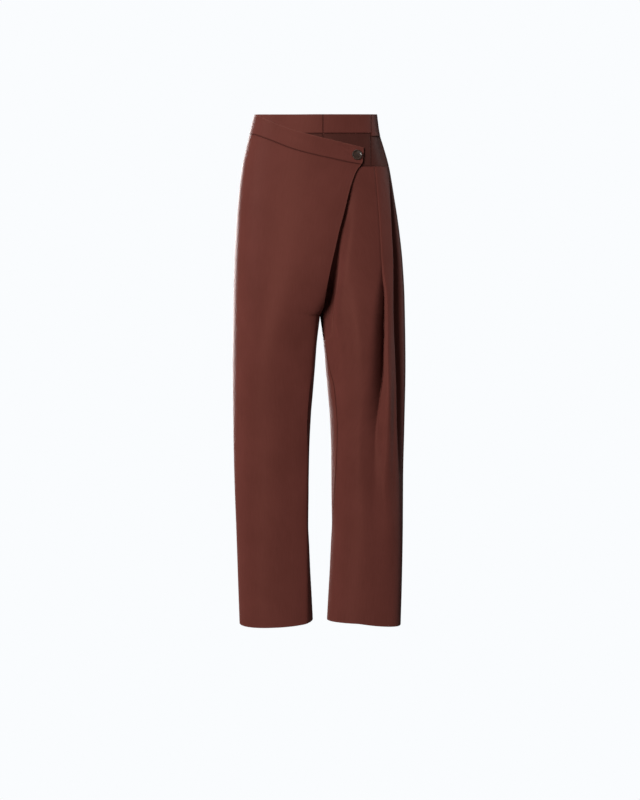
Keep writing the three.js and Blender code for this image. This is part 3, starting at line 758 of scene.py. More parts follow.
@dataclass
class ClothWall:
    """One cut of cloth, from a grid of outer points to a closed mesh with soft edges."""

    name: str
    node: str
    points: Array
    turn: int
    cut: Cut
    held: str = "hung"
    rests_on: tuple[str, ...] = ()
    thickness: float = CLOTH
    edges: tuple[Edge, ...] = (Edge.SEAM,) * 4  # the top, the foot, and the first and last columns
    creases: tuple[Crease, ...] = ()
    sway: Sway | None = None
    starts_at_side: bool = False  # whether the first column is the side seam, instead of the last
    hem: bool = False
    pucker: float = 0.12  # height of the small waves that stitches draw along a seam

    def build(self, finish: TwillFinish) -> bpy.types.Object:
        """Args:
            finish: The cloth's finish.

        Returns:
            The piece.
        """
        points = self.points
        normals = outward(points, self.turn)
        across, down = run_lengths(points, 1), run_lengths(points, 0)
        from_edges = (down, down[-1:] - down, across, across[:, -1:] - across)
        moved = np.zeros(points.shape[:2])
        for crease in self.creases:
            moved += crease.relief(points, normals)
        if self.sway:
            side_seam = across if self.starts_at_side else across[:, -1:] - across
            moved += self.sway.relief(points, side_seam) * self.held_at_seams(from_edges)
        moved += self.puckered(from_edges, across, down)
        points = points + normals * moved[..., None]
        normals = outward(points, self.turn)
        outer_drop, inner_rise = self.edge_roll(from_edges)
        inner = points - normals * (self.wall_depth(from_edges) - inner_rise)[..., None]
        outer = points - normals * outer_drop[..., None]
        mesh = self.mesh(outer, inner)
        self.add_cloth_map(mesh, points, from_edges)
        piece = bpy.data.objects.new(self.name, mesh)
        bpy.context.scene.collection.objects.link(piece)
        mesh.materials.append(finish.material())
        pieces_done(piece, self.node)
        return piece

    def held_at_seams(self, from_edges: tuple[Array, ...]) -> Array:
        """How freely the cloth may move.

        Args:
            from_edges: Distances from the top, the foot, and the first and last columns.

        Returns:
            Nearly 0 at a seam, and 1 away from it.
        """
        free = np.ones_like(from_edges[0])
        for edge, away in zip(self.edges, from_edges):
            if edge is Edge.SEAM:
                free = free * smooth(away / SEAM_HOLD + 0.12)
        return free

    def puckered(self, from_edges: tuple[Array, ...], across: Array, down: Array) -> Array:
        """Small uneven waves that stitches draw up beside each seam.

        Args:
            from_edges: Distances from the top, the foot, and the first and last columns.
            across: Length along the rows.
            down: Length down the columns.

        Returns:
            Millimetres outwards.
        """
        waves = np.zeros_like(across)
        along = (across, across, down, down)
        for k, (edge, away, run) in enumerate(zip(self.edges, from_edges, along)):
            if edge is Edge.SEAM:
                uneven = run / PUCKER_RUN + 1.9 * np.sin(run / 23 + k) + 1.1 * np.sin(run / 9.1 + 2 * k)
                height = (0.6 + 0.4 * np.sin(run / 37 + k)) * np.exp(-((away / PUCKER_REACH) ** 2))
                waves += np.sin(uneven) * height
        return self.pucker * waves

    def edge_roll(self, from_edges: tuple[Array, ...]) -> tuple[Array, Array]:
        """How cloth rolls over along its edges.

        Args:
            from_edges: Distances from the top, the foot, and the first and last columns.

        Returns:
            How far the outer face drops and how far the inner face rises.
        """
        outer = np.zeros_like(from_edges[0])
        inner = np.zeros_like(from_edges[0])
        for edge, away in zip(self.edges, from_edges):
            reach, drop = SEAM_ROLL if edge is Edge.SEAM else self.thickness * np.array(FOLD_ROLL)
            share = np.clip(1 - away / reach, 0, 1)
            roll = drop * (1 - np.sqrt(1 - share**2))
            outer = np.maximum(outer, roll)
            if edge is Edge.FOLD:
                inner = np.maximum(inner, roll)
        return outer, inner

    def wall_depth(self, from_edges: tuple[Array, ...]) -> Array:
        """The wall's thickness, with the hem's turned-up cloth inside.

        Args:
            from_edges: Distances from the top, the foot, and the first and last columns.

        Returns:
            The thickness at each point.
        """
        depth = np.full_like(from_edges[0], self.thickness)
        return depth + TURN_UP * smooth((HEM_DEPTH - from_edges[1]) / 3) if self.hem else depth

    def mesh(self, outer: Array, inner: Array) -> bpy.types.Mesh:
        """A closed mesh between two grids.

        Args:
            outer: The outer points, in millimetres.
            inner: The inner points.

        Returns:
            The mesh, in metres.
        """
        rows, columns = outer.shape[:2]
        index = np.arange(rows * columns).reshape(rows, columns)
        under = index + rows * columns

        def quads(a: Array, b: Array, c: Array, d: Array) -> Array:
            """Faces from the numbers of their four corners."""
            return np.stack([a, b, c, d], axis=-1).reshape(-1, 4)

        faces = np.vstack([
            quads(index[:-1, :-1], index[1:, :-1], index[1:, 1:], index[:-1, 1:]),
            quads(under[:-1, :-1], under[:-1, 1:], under[1:, 1:], under[1:, :-1]),
            quads(index[:-1, 0], under[:-1, 0], under[1:, 0], index[1:, 0]),
            quads(index[1:, -1], under[1:, -1], under[:-1, -1], index[:-1, -1]),
            quads(index[0, 1:], under[0, 1:], under[0, :-1], index[0, :-1]),
            quads(index[-1, :-1], under[-1, :-1], under[-1, 1:], index[-1, 1:]),
        ])
        if self.turn < 0:
            faces = faces[:, ::-1]
        vertices = np.vstack([outer.reshape(-1, 3), inner.reshape(-1, 3)]) * METRE
        mesh = bpy.data.meshes.new(self.name)
        mesh.from_pydata(vertices.tolist(), [], faces.tolist())
        mesh.update()
        mesh.shade_smooth()
        return mesh

    def add_cloth_map(self, mesh: bpy.types.Mesh, points: Array, from_edges: tuple[Array, ...]) -> None:
        """Adds a UV map in metres of cloth, and attributes that are 1 on rubbed folds, and beside seams where
        shade is painted.

        Args:
            mesh: The mesh, with the outer points before the inner ones.
            points: The grid of points, for the lengths along the cloth.
            from_edges: Distances from the top, the foot, and the first and last columns.
        """
        across = run_lengths(points, 1)
        if not self.starts_at_side:
            across = across - across[:, -1:]
        across = across * self.turn
        down = run_lengths(points, 0)
        flat = np.stack([across, -down], axis=-1).reshape(-1, 2) * METRE
        corner = np.zeros(len(mesh.loops), np.int32)
        mesh.loops.foreach_get("vertex_index", corner)
        cloth_map = mesh.uv_layers.new(name="cloth")
        cloth_map.data.foreach_set("uv", np.vstack([flat, flat])[corner].astype(np.float32).ravel())
        # The first mark is wear on folded edges; the second is painted shade beside each seam.
        for name, kind, reach in (("rubbed", Edge.FOLD, 2.0), ("painted_seam_shade", Edge.SEAM, 1.5)):
            strength = np.zeros(points.shape[:2])
            for edge, away in zip(self.edges, from_edges):
                if edge is kind:
                    strength = np.maximum(strength, np.exp(-((away / reach) ** 2)))
            attribute = mesh.attributes.new(name, "FLOAT", "POINT")
            attribute.data.foreach_set("value", np.tile(strength.ravel(), 2).astype(np.float32))


def linear(code: str) -> tuple[float, float, float, float]:
    """An sRGB hex colour as linear red, green, blue and alpha.

    Args:
        code: Six hex digits after a hash sign.

    Returns:
        Linear values from 0 to 1.
    """
    values = [int(code[i : i + 2], 16) / 255 for i in (1, 3, 5)]
    red, green, blue = (v / 12.92 if v <= 0.04045 else ((v + 0.055) / 1.055) ** 2.4 for v in values)
    return red, green, blue, 1.0


def add_node(
    tree: bpy.types.NodeTree,
    kind: str,
    inputs: dict[str | int, object] | None = None,
    **settings: object,
) -> bpy.types.Node:
    """Adds a node with its settings and links.

    Args:
        tree: The node tree.
        kind: The node's type name, without its ShaderNode prefix.
        inputs: A value, or a socket to link from, for each named or numbered input.
        settings: The node's own properties.

    Returns:
        The node.
    """
    node = tree.nodes.new("ShaderNode" + kind)
    for name, value in settings.items():
        setattr(node, name, value)
    for name, value in (inputs or {}).items():
        if isinstance(value, bpy.types.NodeSocket):
            tree.links.new(value, node.inputs[name])
        else:
            node.inputs[name].default_value = value
    return node


def bare_material(name: str) -> tuple[bpy.types.Material, bpy.types.NodeTree]:
    """A new material with an empty node tree.

    Args:
        name: The material's name.

    Returns:
        The material and its tree.
    """
    material = bpy.data.materials.new(name)
    material.use_nodes = True
    material.node_tree.nodes.clear()
    return material, material.node_tree


@dataclass(frozen=True)
class TwillFinish:
    """A satin-faced wool-blend twill, piece-dyed brown and ironed: a soft sheen and a very fine diagonal."""

    name: str = "brown_satin_twill"
    cloth: str = "#6E3B34"
    shaded: str = "#66362F"
    rubbed: str = "#8A5348"  # on folded edges
    # Painted shade: the dark colour laid beside each seam.
    painted_seam_shade: str = "#2A120F"  # in seams
    glint: str = "#C07A6A"  # of the satin face's shine
    rubbed_share: float = 0.25
    painted_seam_shade_share: float = 0.7
    roughness: float = 0.44
    wale_mm: float = 0.7  # between two diagonals of the weave, drawn a little coarser than a real 0.5
    yarn_mm: float = 0.35
    slub_mm: tuple[float, float] = (0.9, 42.0)  # width and length of a thicker stretch of yarn
    mottle_mm: float = 90.0  # between lighter and darker spots of the dye
    ripple_mm: float = 26.0  # between the cloth's faint swellings
    weave_height: float = 0.011
    slub_height: float = 0.02
    ripple_height: float = 0.22

    def material(self) -> bpy.types.Material:
        """The finish as a material, made once.

        Returns:
            The material.
        """
        known = bpy.data.materials.get(self.name)
        if known:
            return known
        material, tree = bare_material(self.name)
        cloth_map = add_node(tree, "UVMap", uv_map="cloth").outputs["UV"]
        height, slub = self.weave(tree, cloth_map)
        spots = {"Vector": cloth_map, "Scale": 1 / (self.mottle_mm * METRE), "Detail": 3.0, "Roughness": 0.55}
        mottle = add_node(tree, "TexNoise", spots).outputs["Fac"]
        blend = add_node(tree, "Math", {0: mottle, 1: slub}, operation="ADD").outputs[0]
        half = add_node(tree, "MapRange", {"Value": blend, "From Min": 0.75, "From Max": 1.25}).outputs[0]
        dyes = {"Factor": half, 6: linear(self.shaded), 7: linear(self.cloth)}
        colour = add_node(tree, "Mix", dyes, data_type="RGBA").outputs[2]
        # Wear lightens folded edges, and painted shade darkens the cloth beside seams.
        wear_and_seam_shade = (("rubbed", self.rubbed_share, self.rubbed), ("painted_seam_shade", self.painted_seam_shade_share, self.painted_seam_shade))
        for attribute, most, tone in wear_and_seam_shade:
            strength = add_node(tree, "Attribute", attribute_name=attribute).outputs["Fac"]
            share = add_node(tree, "Math", {0: strength, 1: most}, operation="MULTIPLY").outputs[0]
            tones = {"Factor": share, 6: colour, 7: linear(tone)}
            colour = add_node(tree, "Mix", tones, data_type="RGBA").outputs[2]
        low, high = self.roughness - 0.04, self.roughness + 0.05
        gloss = {"Value": blend, "From Min": 0.7, "From Max": 1.3, "To Min": low, "To Max": high}
        rough = add_node(tree, "MapRange", gloss).outputs[0]
        bump = add_node(tree, "Bump", {"Height": height, "Strength": 1.0, "Distance": METRE})
        shader = add_node(
            tree,
            "BsdfPrincipled",
            {
                "Base Color": colour,
                "Roughness": rough,
                "IOR": 1.33,
                "Specular IOR Level": 0.4,
                "Specular Tint": linear(self.glint),
                "Normal": bump.outputs[0],
                "Diffuse Roughness": 1.0,
                "Sheen Weight": 0.35,
                "Sheen Roughness": 0.35,
                "Sheen Tint": linear(self.glint),
            },
        )
        add_node(tree, "OutputMaterial", {"Surface": shader.outputs[0]})
        return material

    def weave(
        self, tree: bpy.types.NodeTree, cloth_map: bpy.types.NodeSocket
    ) -> tuple[bpy.types.NodeSocket, bpy.types.NodeSocket]:
        """The weave's height in millimetres, and the unevenness of its yarns.

        Args:
            tree: The material's node tree.
            cloth_map: The position on the cloth, in metres.

        Returns:
            The height, and the unevenness from 0 to 1.
        """
        turns = 2 * math.pi / METRE

        def rib(direction: tuple[float, float], pitch: float) -> bpy.types.NodeSocket:
            """A wave from -1 to 1 across one direction of the cloth."""
            wave = (direction[0] * turns / pitch, direction[1] * turns / pitch, 0.0)
            dot = add_node(tree, "VectorMath", {0: cloth_map, 1: wave}, operation="DOT_PRODUCT")
            return add_node(tree, "Math", {0: dot.outputs["Value"]}, operation="SINE").outputs[0]

        def raised(wave: bpy.types.NodeSocket, height: float, below: object) -> bpy.types.NodeSocket:
            """A wave times its height, laid on what is below it."""
            return add_node(tree, "Math", {0: wave, 1: height, 2: below}, operation="MULTIPLY_ADD").outputs[0]

        wale = rib((0.45, 0.89), self.wale_mm)
        yarn = rib((1.0, 0.0), self.yarn_mm)
        fine = raised(yarn, 0.4, wale)
        scale = (1 / (self.slub_mm[0] * METRE), 1 / (self.slub_mm[1] * METRE), 1.0)
        stretched = add_node(tree, "VectorMath", {0: cloth_map, 1: scale}, operation="MULTIPLY").outputs[0]
        slub = add_node(tree, "TexNoise", {"Vector": stretched, "Scale": 1.0, "Detail": 2.0}).outputs["Fac"]
        size = 1 / (self.ripple_mm * METRE)
        swelling = {"Vector": cloth_map, "Scale": size, "Detail": 2.0, "Roughness": 0.4}
        ripple = add_node(tree, "TexNoise", swelling).outputs["Fac"]
        ribs = raised(fine, self.weave_height, 0.0)
        slubs = raised(slub, self.slub_height, ribs)
        return raised(ripple, self.ripple_height, slubs), slub


TWILL = TwillFinish()
# A darker copy of the same twill: painted shade for the recessed left yoke and for the underlap under the
# wrap.
TWILL_PAINTED_SHADE = TwillFinish(name="brown_satin_twill_painted_shade", cloth="#55302A", shaded="#4C2A25")


@dataclass(frozen=True)
class HornFinish:
    """Dark brown horn, turned and polished: streaked, a little translucent, with a soft gloss."""

    name: str = "polished_dark_horn"
    dark: str = "#211612"
    light: str = "#5A463B"
    roughness: float = 0.28
    streak_mm: float = 3.2
    grain_mm: float = 0.5

    def material(self) -> bpy.types.Material:
        """The finish as a material.

        Returns:
            The material.
        """
        material, tree = bare_material(self.name)
        place = add_node(tree, "TexCoord").outputs["Object"]
        lie = {"Vector": place, "Rotation": (0.3, 0.2, 0.9), "Scale": (1.0, 0.28, 1.0)}
        turned = add_node(tree, "Mapping", lie).outputs[0]
        growth = {"Vector": turned, "Scale": 1 / (self.streak_mm * METRE), "Detail": 5.0}
        growth |= {"Roughness": 0.6, "Distortion": 0.8}
        streaks = add_node(tree, "TexNoise", growth).outputs["Fac"]
        share = add_node(tree, "MapRange", {"Value": streaks, "From Min": 0.35, "From Max": 0.7}).outputs[0]
        tones = {"Factor": share, 6: linear(self.dark), 7: linear(self.light)}
        colour = add_node(tree, "Mix", tones, data_type="RGBA").outputs[2]
        speckle = {"Vector": place, "Scale": 1 / (self.grain_mm * METRE), "Detail": 2.0}
        grain = add_node(tree, "TexNoise", speckle).outputs["Fac"]
        low, high = self.roughness - 0.05, self.roughness + 0.1
        rough = add_node(tree, "MapRange", {"Value": grain, "To Min": low, "To Max": high}).outputs[0]
        bump = add_node(tree, "Bump", {"Height": grain, "Strength": 0.25, "Distance": 0.05 * METRE})
        shader = add_node(
            tree,
            "BsdfPrincipled",
            {
                "Base Color": colour,
                "Roughness": rough,
                "IOR": 1.54,
                "Normal": bump.outputs[0],
                "Coat Weight": 0.35,
                "Coat Roughness": 0.12,
            },
        )
        add_node(tree, "OutputMaterial", {"Surface": shader.outputs[0]})
        return material


@dataclass(frozen=True)
class ThreadFinish:
    """Spun polyester sewing thread, two plies twisted together: matt, and a little darker than the cloth."""

    name: str = "spun_brown_thread"
    colour: str = "#3A221D"
    # Painted shade in the grooves between the two plies.
    painted_ply_shade: str = "#2A1814"
    twist_mm: float = 0.5

    def material(self) -> bpy.types.Material:
        """The finish as a material.

        Returns:
            The material.
        """
        material, tree = bare_material(self.name)
        place = add_node(tree, "TexCoord").outputs["Object"]
        # A wave texture's band is about 0.31 of a unit wide at a scale of 1.
        plies = {"Vector": place, "Scale": 0.31 / (self.twist_mm * METRE), "Distortion": 0.4}
        twist = add_node(tree, "TexWave", plies, bands_direction="DIAGONAL").outputs["Fac"]
        # The colour darkens between the plies along the twist: painted shade.
        tones = {"Factor": twist, 6: linear(self.painted_ply_shade), 7: linear(self.colour)}
        colour = add_node(tree, "Mix", tones, data_type="RGBA").outputs[2]
        bump = add_node(tree, "Bump", {"Height": twist, "Strength": 0.6, "Distance": 0.08 * METRE})
        matt = {"Base Color": colour, "Roughness": 0.75, "Normal": bump.outputs[0], "Sheen Weight": 0.2}
        shader = add_node(tree, "BsdfPrincipled", matt)
        add_node(tree, "OutputMaterial", {"Surface": shader.outputs[0]})
        return material


@dataclass
class Waistband:
    """The waistband: a right and a left front that close at the centre, and a deeper back."""

    form: Form
    finish: TwillFinish = TWILL
    spacing: float = 3.0
    row_spacing: float = 1.8
    left_share: float = 0.58  # how much of the back waistband lies on the left of the centre back

    def wall(self, node: str, points: Array, turn: int, cut: Cut) -> ClothWall:
        """One waistband, stretched round the waist, with its upper edge folded.

        Args:
            node: The CAD node that it stands for.
            points: Its outer points.
            turn: The way its columns run round.
            cut: Its flat size.

        Returns:
            The cloth.
        """
        return ClothWall(
            name=f"{node}_cloth",
            node=node,
            points=points,
            turn=turn,
            cut=cut,
            held="stretched",
            thickness=BAND,
            edges=(Edge.FOLD, Edge.SEAM, Edge.SEAM, Edge.SEAM),
            pucker=0.06,
        )

    def front(self, side: Side) -> ClothWall:
        """One side's front waistband, from the closure outwards.

        Args:
            side: The wearer's right or left.

        Returns:
            The cloth.
        """
        is_left = side is Side.LEFT
        across = stations(110 if is_left else 190, self.spacing)
        # The right one draws in from the closure on, to pass under the slanting band.
        drawn_in = 0 if is_left else smooth(across * 4) * (BAND + COVERED_CLEARANCE)

        def angle_of(cut: Section) -> Array:
            """From the centre front to the seam on the left hip, or to the right side seam."""
            end = cut.angle_at(LEFT_BAND_SEAM) if is_left else SIDE_SEAM
            return lerp(cut.angle_at(CENTRE_FRONT), end, across)

        rows = stations(FRONT_BAND_DEPTH, self.row_spacing)
        edges = (waist_top, front_band_foot)
        points = self.form.between(side, Layer.UNDER, drawn_in - BAND_PROUD, angle_of, edges, rows)
        cut = Cut(0.122, 0.041, 0.0049) if is_left else Cut(0.218, 0.041, 0.0088)
        return self.wall(f"waistband_front_{side.name.lower()}", points, int(side), cut)

    def back(self) -> ClothWall:
        """The back waistband, from its end on the left front round to the right side seam.

        Returns:
            The cloth.
        """
        across = stations(430, self.spacing)
        on_left = across < self.left_share
        rows = stations(BACK_BAND_DEPTH, self.row_spacing)
        edges = (waist_top, back_band_foot)

        def left_angle(cut: Section) -> Array:
            """From the seam on the left hip to the centre back."""
            return lerp(cut.angle_at(LEFT_BAND_SEAM), BEHIND, across[on_left] / self.left_share)

        def right_angle(_cut: Section) -> Array:
            """From the centre back to the right side seam."""
            share = (across[~on_left] - self.left_share) / (1 - self.left_share)
            return lerp(BEHIND, SIDE_SEAM, share)

        left = self.form.between(Side.LEFT, Layer.UNDER, -BAND_PROUD, left_angle, edges, rows)
        right = self.form.between(Side.RIGHT, Layer.UNDER, -BAND_PROUD, right_angle, edges, rows)
        return self.wall("waistband_back", np.concatenate([left, right], axis=1), 1, Cut(0.43, 0.05, 0.0205))

    def build(self) -> list[bpy.types.Object]:
        """Makes the three waistbands."""
        walls = (self.front(Side.RIGHT), self.front(Side.LEFT), self.back())
        return [wall.build(self.finish) for wall in walls]


@dataclass
class Yoke:
    """The left hip yoke: a front part that the wrap half hides, and a side part."""

    form: Form
    # Painted shade: the yoke takes the darker copy of the twill.
    finish: TwillFinish = TWILL_PAINTED_SHADE
    spacing: float = 2.8
    hip_hollow: Crease = Crease(View.FRONT, ((136, -40), (140, -86), (144, -130)), -4.0, 24)

    def front_part(self) -> ClothWall:
        """From the centre front to below the waistbands' seam.

        Returns:
            The cloth.
        """
        across = stations(112, self.spacing)

        def angle_of(cut: Section) -> Array:
            """From the centre front to the seam on the left hip."""
            return lerp(cut.angle_at(CENTRE_FRONT), cut.angle_at(LEFT_BAND_SEAM), across)

        rows = stations(70, self.spacing)
        edges = (front_band_foot, yoke_foot)
        return ClothWall(
            name="yoke_front_left_cloth",
            node="yoke_front_left",
            points=self.form.between(Side.LEFT, Layer.UNDER, YOKE_INSET, angle_of, edges, rows),
            turn=1,
            cut=Cut(0.117, 0.073, 0.008),
            rests_on=("waistband_front_left",),
            creases=(self.hip_hollow,),
        )

    def side_part(self) -> ClothWall:
        """From there to the left side seam, where it comes level with the back.

        Returns:
            The cloth.
        """
        across = stations(78, self.spacing)

        def angle_of(cut: Section) -> Array:
            """From the seam on the left hip to the left side seam."""
            return lerp(cut.angle_at(LEFT_BAND_SEAM), SIDE_SEAM, across)

        inset = YOKE_INSET * (1 - smooth(across))
        rows = stations(66, self.spacing)
        edges = (back_band_foot, yoke_foot)
        return ClothWall(
            name="yoke_side_left_cloth",
            node="yoke_side_left",
            points=self.form.between(Side.LEFT, Layer.UNDER, inset, angle_of, edges, rows),
            turn=1,
            cut=Cut(0.084, 0.072, 0.0056),
            rests_on=("waistband_back",),
            creases=(self.hip_hollow,),
        )

    def build(self) -> list[bpy.types.Object]:
        """Makes both parts."""
        return [wall.build(self.finish) for wall in (self.front_part(), self.side_part())]


@dataclass
class WrapFront:
    """The right front with its wrap, the slanting band on its upper edge, and the underlap behind it."""

    form: Form
    finish: TwillFinish = TWILL
    # Painted shade: the underlap takes the darker copy of the twill.
    under_finish: TwillFinish = TWILL_PAINTED_SHADE
    spacing: float = 3.4
    band_foot: float = -53.0  # height of the front waistband's lower edge, where the underlap starts
    # The first two swell along the wrap's lower end and the inner leg, and stand it clear of the left front.
    creases: tuple[Crease, ...] = (
        Crease(
            View.FRONT,
            (
                (28, -300), (14, -350), (2, -400), (-8, -440), (-16, -480), (-26, -540),
                (-34, -620), (-38, -750), (-40, -900), (-38, -1090), (-36, -1200),
            ),
            8,
            22,
        ),
        Crease(
            View.FRONT,
            ((-14, -450), (-22, -540), (-31, -620), (-34, -750), (-34, -900), (-32, -1060), (-31, -1220)),
            3.5,
            8,
        ),
        Crease(View.FRONT, ((60, -112), (20, -128), (-30, -142)), -0.7, 13),
        Crease(View.FRONT, ((66, -124), (34, -160), (4, -214)), -0.6, 15),
        Crease(View.FRONT, ((-28, -380), (-52, -420), (-70, -492)), -0.9, 15),
        Crease(View.FRONT, ((-14, -446), (-34, -500), (-42, -590)), -1.2, 13),
        Crease(View.FRONT, ((-96, -560), (-88, -680), (-94, -820)), 1.0, 30),
        Crease(View.FRONT, ((-128, -640), (-134, -800), (-126, -1010)), -1.3, 22),
        Crease(View.FRONT, ((-62, -770), (-58, -880), (-64, -1010)), -1.0, 20),
        Crease(View.FROM_RIGHT, ((-14, -200), (-26, -330), (-18, -480)), -0.8, 22),
        Crease(View.FROM_RIGHT, ((-30, -640), (-22, -800), (-30, -960)), 0.9, 18),
    )
    band_creases: tuple[Crease, ...] = (
        Crease(View.FRONT, ((74, -90), (58, -82), (38, -74)), -3.4, 8),
        Crease(View.FRONT, ((70, -108), (56, -106), (40, -103)), 0.5, 5),
        Crease(View.FRONT, ((-90, -46), (-40, -66), (6, -78)), 0.35, 9),
    )

    def panel(self) -> ClothWall:
        """The right front: the wrap above the crotch, and the front of the right leg below it.

        Returns:
            The cloth.
        """
        form = self.form
        top = float(form.slant_lower(form.wrap_edge(-120.0)))
        share = stations(290, self.spacing)
        height = panel_heights(top, *LONG_PANEL_ROWS)[:, None]

        def turn_at(z: Array) -> Array:
            """The turn from the side seam to the wrap's free edge, or to the inseam."""
            free_edge = form.section(Side.RIGHT, Layer.WRAP, z).angle_at(form.wrap_edge(z))
            return SIDE_SEAM - np.where(z > CROTCH, free_edge, np.radians(form.inseam[Side.RIGHT](z)))

        def angle_for(z: Array) -> Array:
            """Each column's angle."""
            return SIDE_SEAM - turned_by(1 - share, turn_at, z)

        z = height + 0 * share
        for _ in range(6):
            x, _y = form.section(Side.RIGHT, Layer.WRAP, z).point(angle_for(z))
            slant = (form.slant_lower(x) - top) * (1 - smooth((top - height) / WRAP_BLEND))
            z = height + slant + hem_shift(height, angle_for(height))
        return ClothWall(
            name="right_front_cloth",
            node="front_right",
            points=joined(*form.section(Side.RIGHT, Layer.WRAP, z).point(angle_for(z)), z),
            turn=-1,
            cut=Cut(0.36, 1.08, 0.272),
            rests_on=("wrap_band",),
            edges=(Edge.SEAM, Edge.FOLD, Edge.FOLD, Edge.SEAM),
            creases=self.creases,
            sway=Sway(phase=0.4),
            hem=True,
        )

    def band(self) -> ClothWall:
        """The slanting band from the right side seam to its square tab on the left hip.

        Returns:
            The cloth.
        """
        form = self.form
        share = stations(310, 2.2)
        down = stations(42, 1.9)[:, None]
        x = np.zeros((len(down), len(share)))
        y, z = x, x
        for _ in range(8):
            z = lerp(form.slant_upper(x), form.slant_lower(x), down)
            cut = form.section(Side.RIGHT, Layer.WRAP, z, -BAND_PROUD)
            x, y = cut.point(lerp(cut.angle_at(form.wrap_edge(z)), SIDE_SEAM, share))
        return ClothWall(
            name="slanting_band_cloth",
            node="wrap_band",
            points=joined(x, y, z),
            turn=-1,
            cut=Cut(0.315, 0.046, 0.0128),
            rests_on=("waistband_back",),
            thickness=BAND - BAND_PROUD,
            edges=(Edge.FOLD, Edge.SEAM, Edge.FOLD, Edge.SEAM),
            creases=self.band_creases,
            pucker=0.08,
        )

    def underlap(self) -> ClothWall:
        """The underlap: it follows the wrap just inside it, and draws in to the centre front seam.

        Returns:
            The cloth.
        """
        form = self.form
        across = stations(220, 4.0)
        down = stations(390, 4.4)[:, None]
        foremost = -form.depth["under"](np.array(self.band_foot))
        top = front_band_foot(foremost * np.cos(across * math.pi / 2))
        foot = lerp(CROTCH + 4, UNDERLAP_SIDE_FOOT, across**0.6)
        z = lerp(top, foot, 1 - (1 - down) ** 1.6)
        cut = form.section(Side.RIGHT, Layer.WRAP, z, UNDERLAP_INSET)
        start = cut.angle_at(centre_front(z))
        left = form.section(Side.LEFT, Layer.UNDER, z, YOKE_INSET * smooth((z - YOKE_SEAM) / 40 + 1))
        seam = joined(*left.point(left.angle_at(centre_front(z))), z)
        seam[..., 0] -= CROTCH_CLEARANCE * (1 - smooth((z - CROTCH) / 80))
        drawn = (seam - joined(*cut.point(start), z)) * ((1 - across) ** 2)[:, None]
        return ClothWall(
            name="underlap_cloth",
            node="underlap_front_right",
            points=joined(*cut.point(lerp(start, SIDE_SEAM, across)), z) + drawn,
            turn=-1,
            cut=Cut(0.27, 0.4, 0.0735),
            rests_on=("waistband_front_right",),
            edges=(Edge.SEAM, Edge.FOLD, Edge.SEAM, Edge.SEAM),
            creases=(WRAP_HOLLOW,),
        )

    def build(self) -> list[bpy.types.Object]:
        """Makes the underlap, and then the two pieces that lie over it."""
        over = (self.panel(), self.band())
        return [self.underlap().build(self.under_finish), *(wall.build(self.finish) for wall in over)]


@dataclass(frozen=True)
class PleatRow:
    """The left front's section at one height, measured along the cloth from its inner edge."""

    lengths: Array
    points: Array
    moved: Array
    marks: Array

    @classmethod
    def of(
        cls, z: float, points: Array, past_front: Array, folds: list[tuple[bool, dict[str, Reading]]]
    ) -> PleatRow:
        """Pleats one section.

        Args:
            z: Its height.
            points: Its points before pleating.
            past_front: Which of them lie outside the foremost point.
            folds: For each fold, whether its groove lies ahead of its edge, and its columns.

        Returns:
            The row.
        """
        steps = np.linalg.norm(np.diff(points, axis=0), axis=-1)
        lengths = np.concatenate([[0], np.cumsum(steps)])
        total = lengths[-1]
        along = unit(np.gradient(points, axis=0))
        out = np.stack([along[:, 1], -along[:, 0]], axis=-1)
        moved = points.copy()
        marks = [0.0]
        for ahead, columns in folds:
            edge, deep, width, bottom, lean, crest = (float(read(np.array(z))) for read in columns.values())
            beyond = past_front & (points[:, 0] >= edge)
            reached = lengths[np.argmax(beyond)] if beyond.any() else total
            place = min(reached, total - width - SIDE_MARGIN)
            away = place - lengths if ahead else lengths - place
            near = 1 - smooth(np.abs(away) / np.where(away < 0, STRIP_REACH, CREST_REACH))
            steep = (away + FOLD_ROUND) / (bottom + FOLD_ROUND)
            gentle = np.clip((width - away) / (width - bottom), 0, 1)
            down = np.where(away < bottom, smooth(steep), gentle**1.9)
            sign = -1 if ahead else 1
            # The front groove is pushed straight back, so that its wall doesn't show from the front.
            open_side = FORWARD if ahead else out
            moved += out * (crest * near)[:, None] - open_side * (deep * down)[:, None]
            moved += along * (sign * lean * near)[:, None]
            marks += sorted(place + sign * reach for reach in (-FOLD_ROUND, bottom, width))
        return cls(lengths, points, moved, np.array([*marks, total]))

    def at_stations(self, stations_at: Array, pleated: bool) -> Array:
        """Places on the row.

        Args:
            stations_at: The places, which count the marks that have been passed.
            pleated: Whether to take the cloth after pleating.

        Returns:
            The x and y of each place.
        """
        length = np.interp(stations_at, np.arange(len(self.marks)), self.marks)
        source = self.moved if pleated else self.points
        return np.stack([np.interp(length, self.lengths, source[:, k]) for k in (0, 1)], axis=-1)


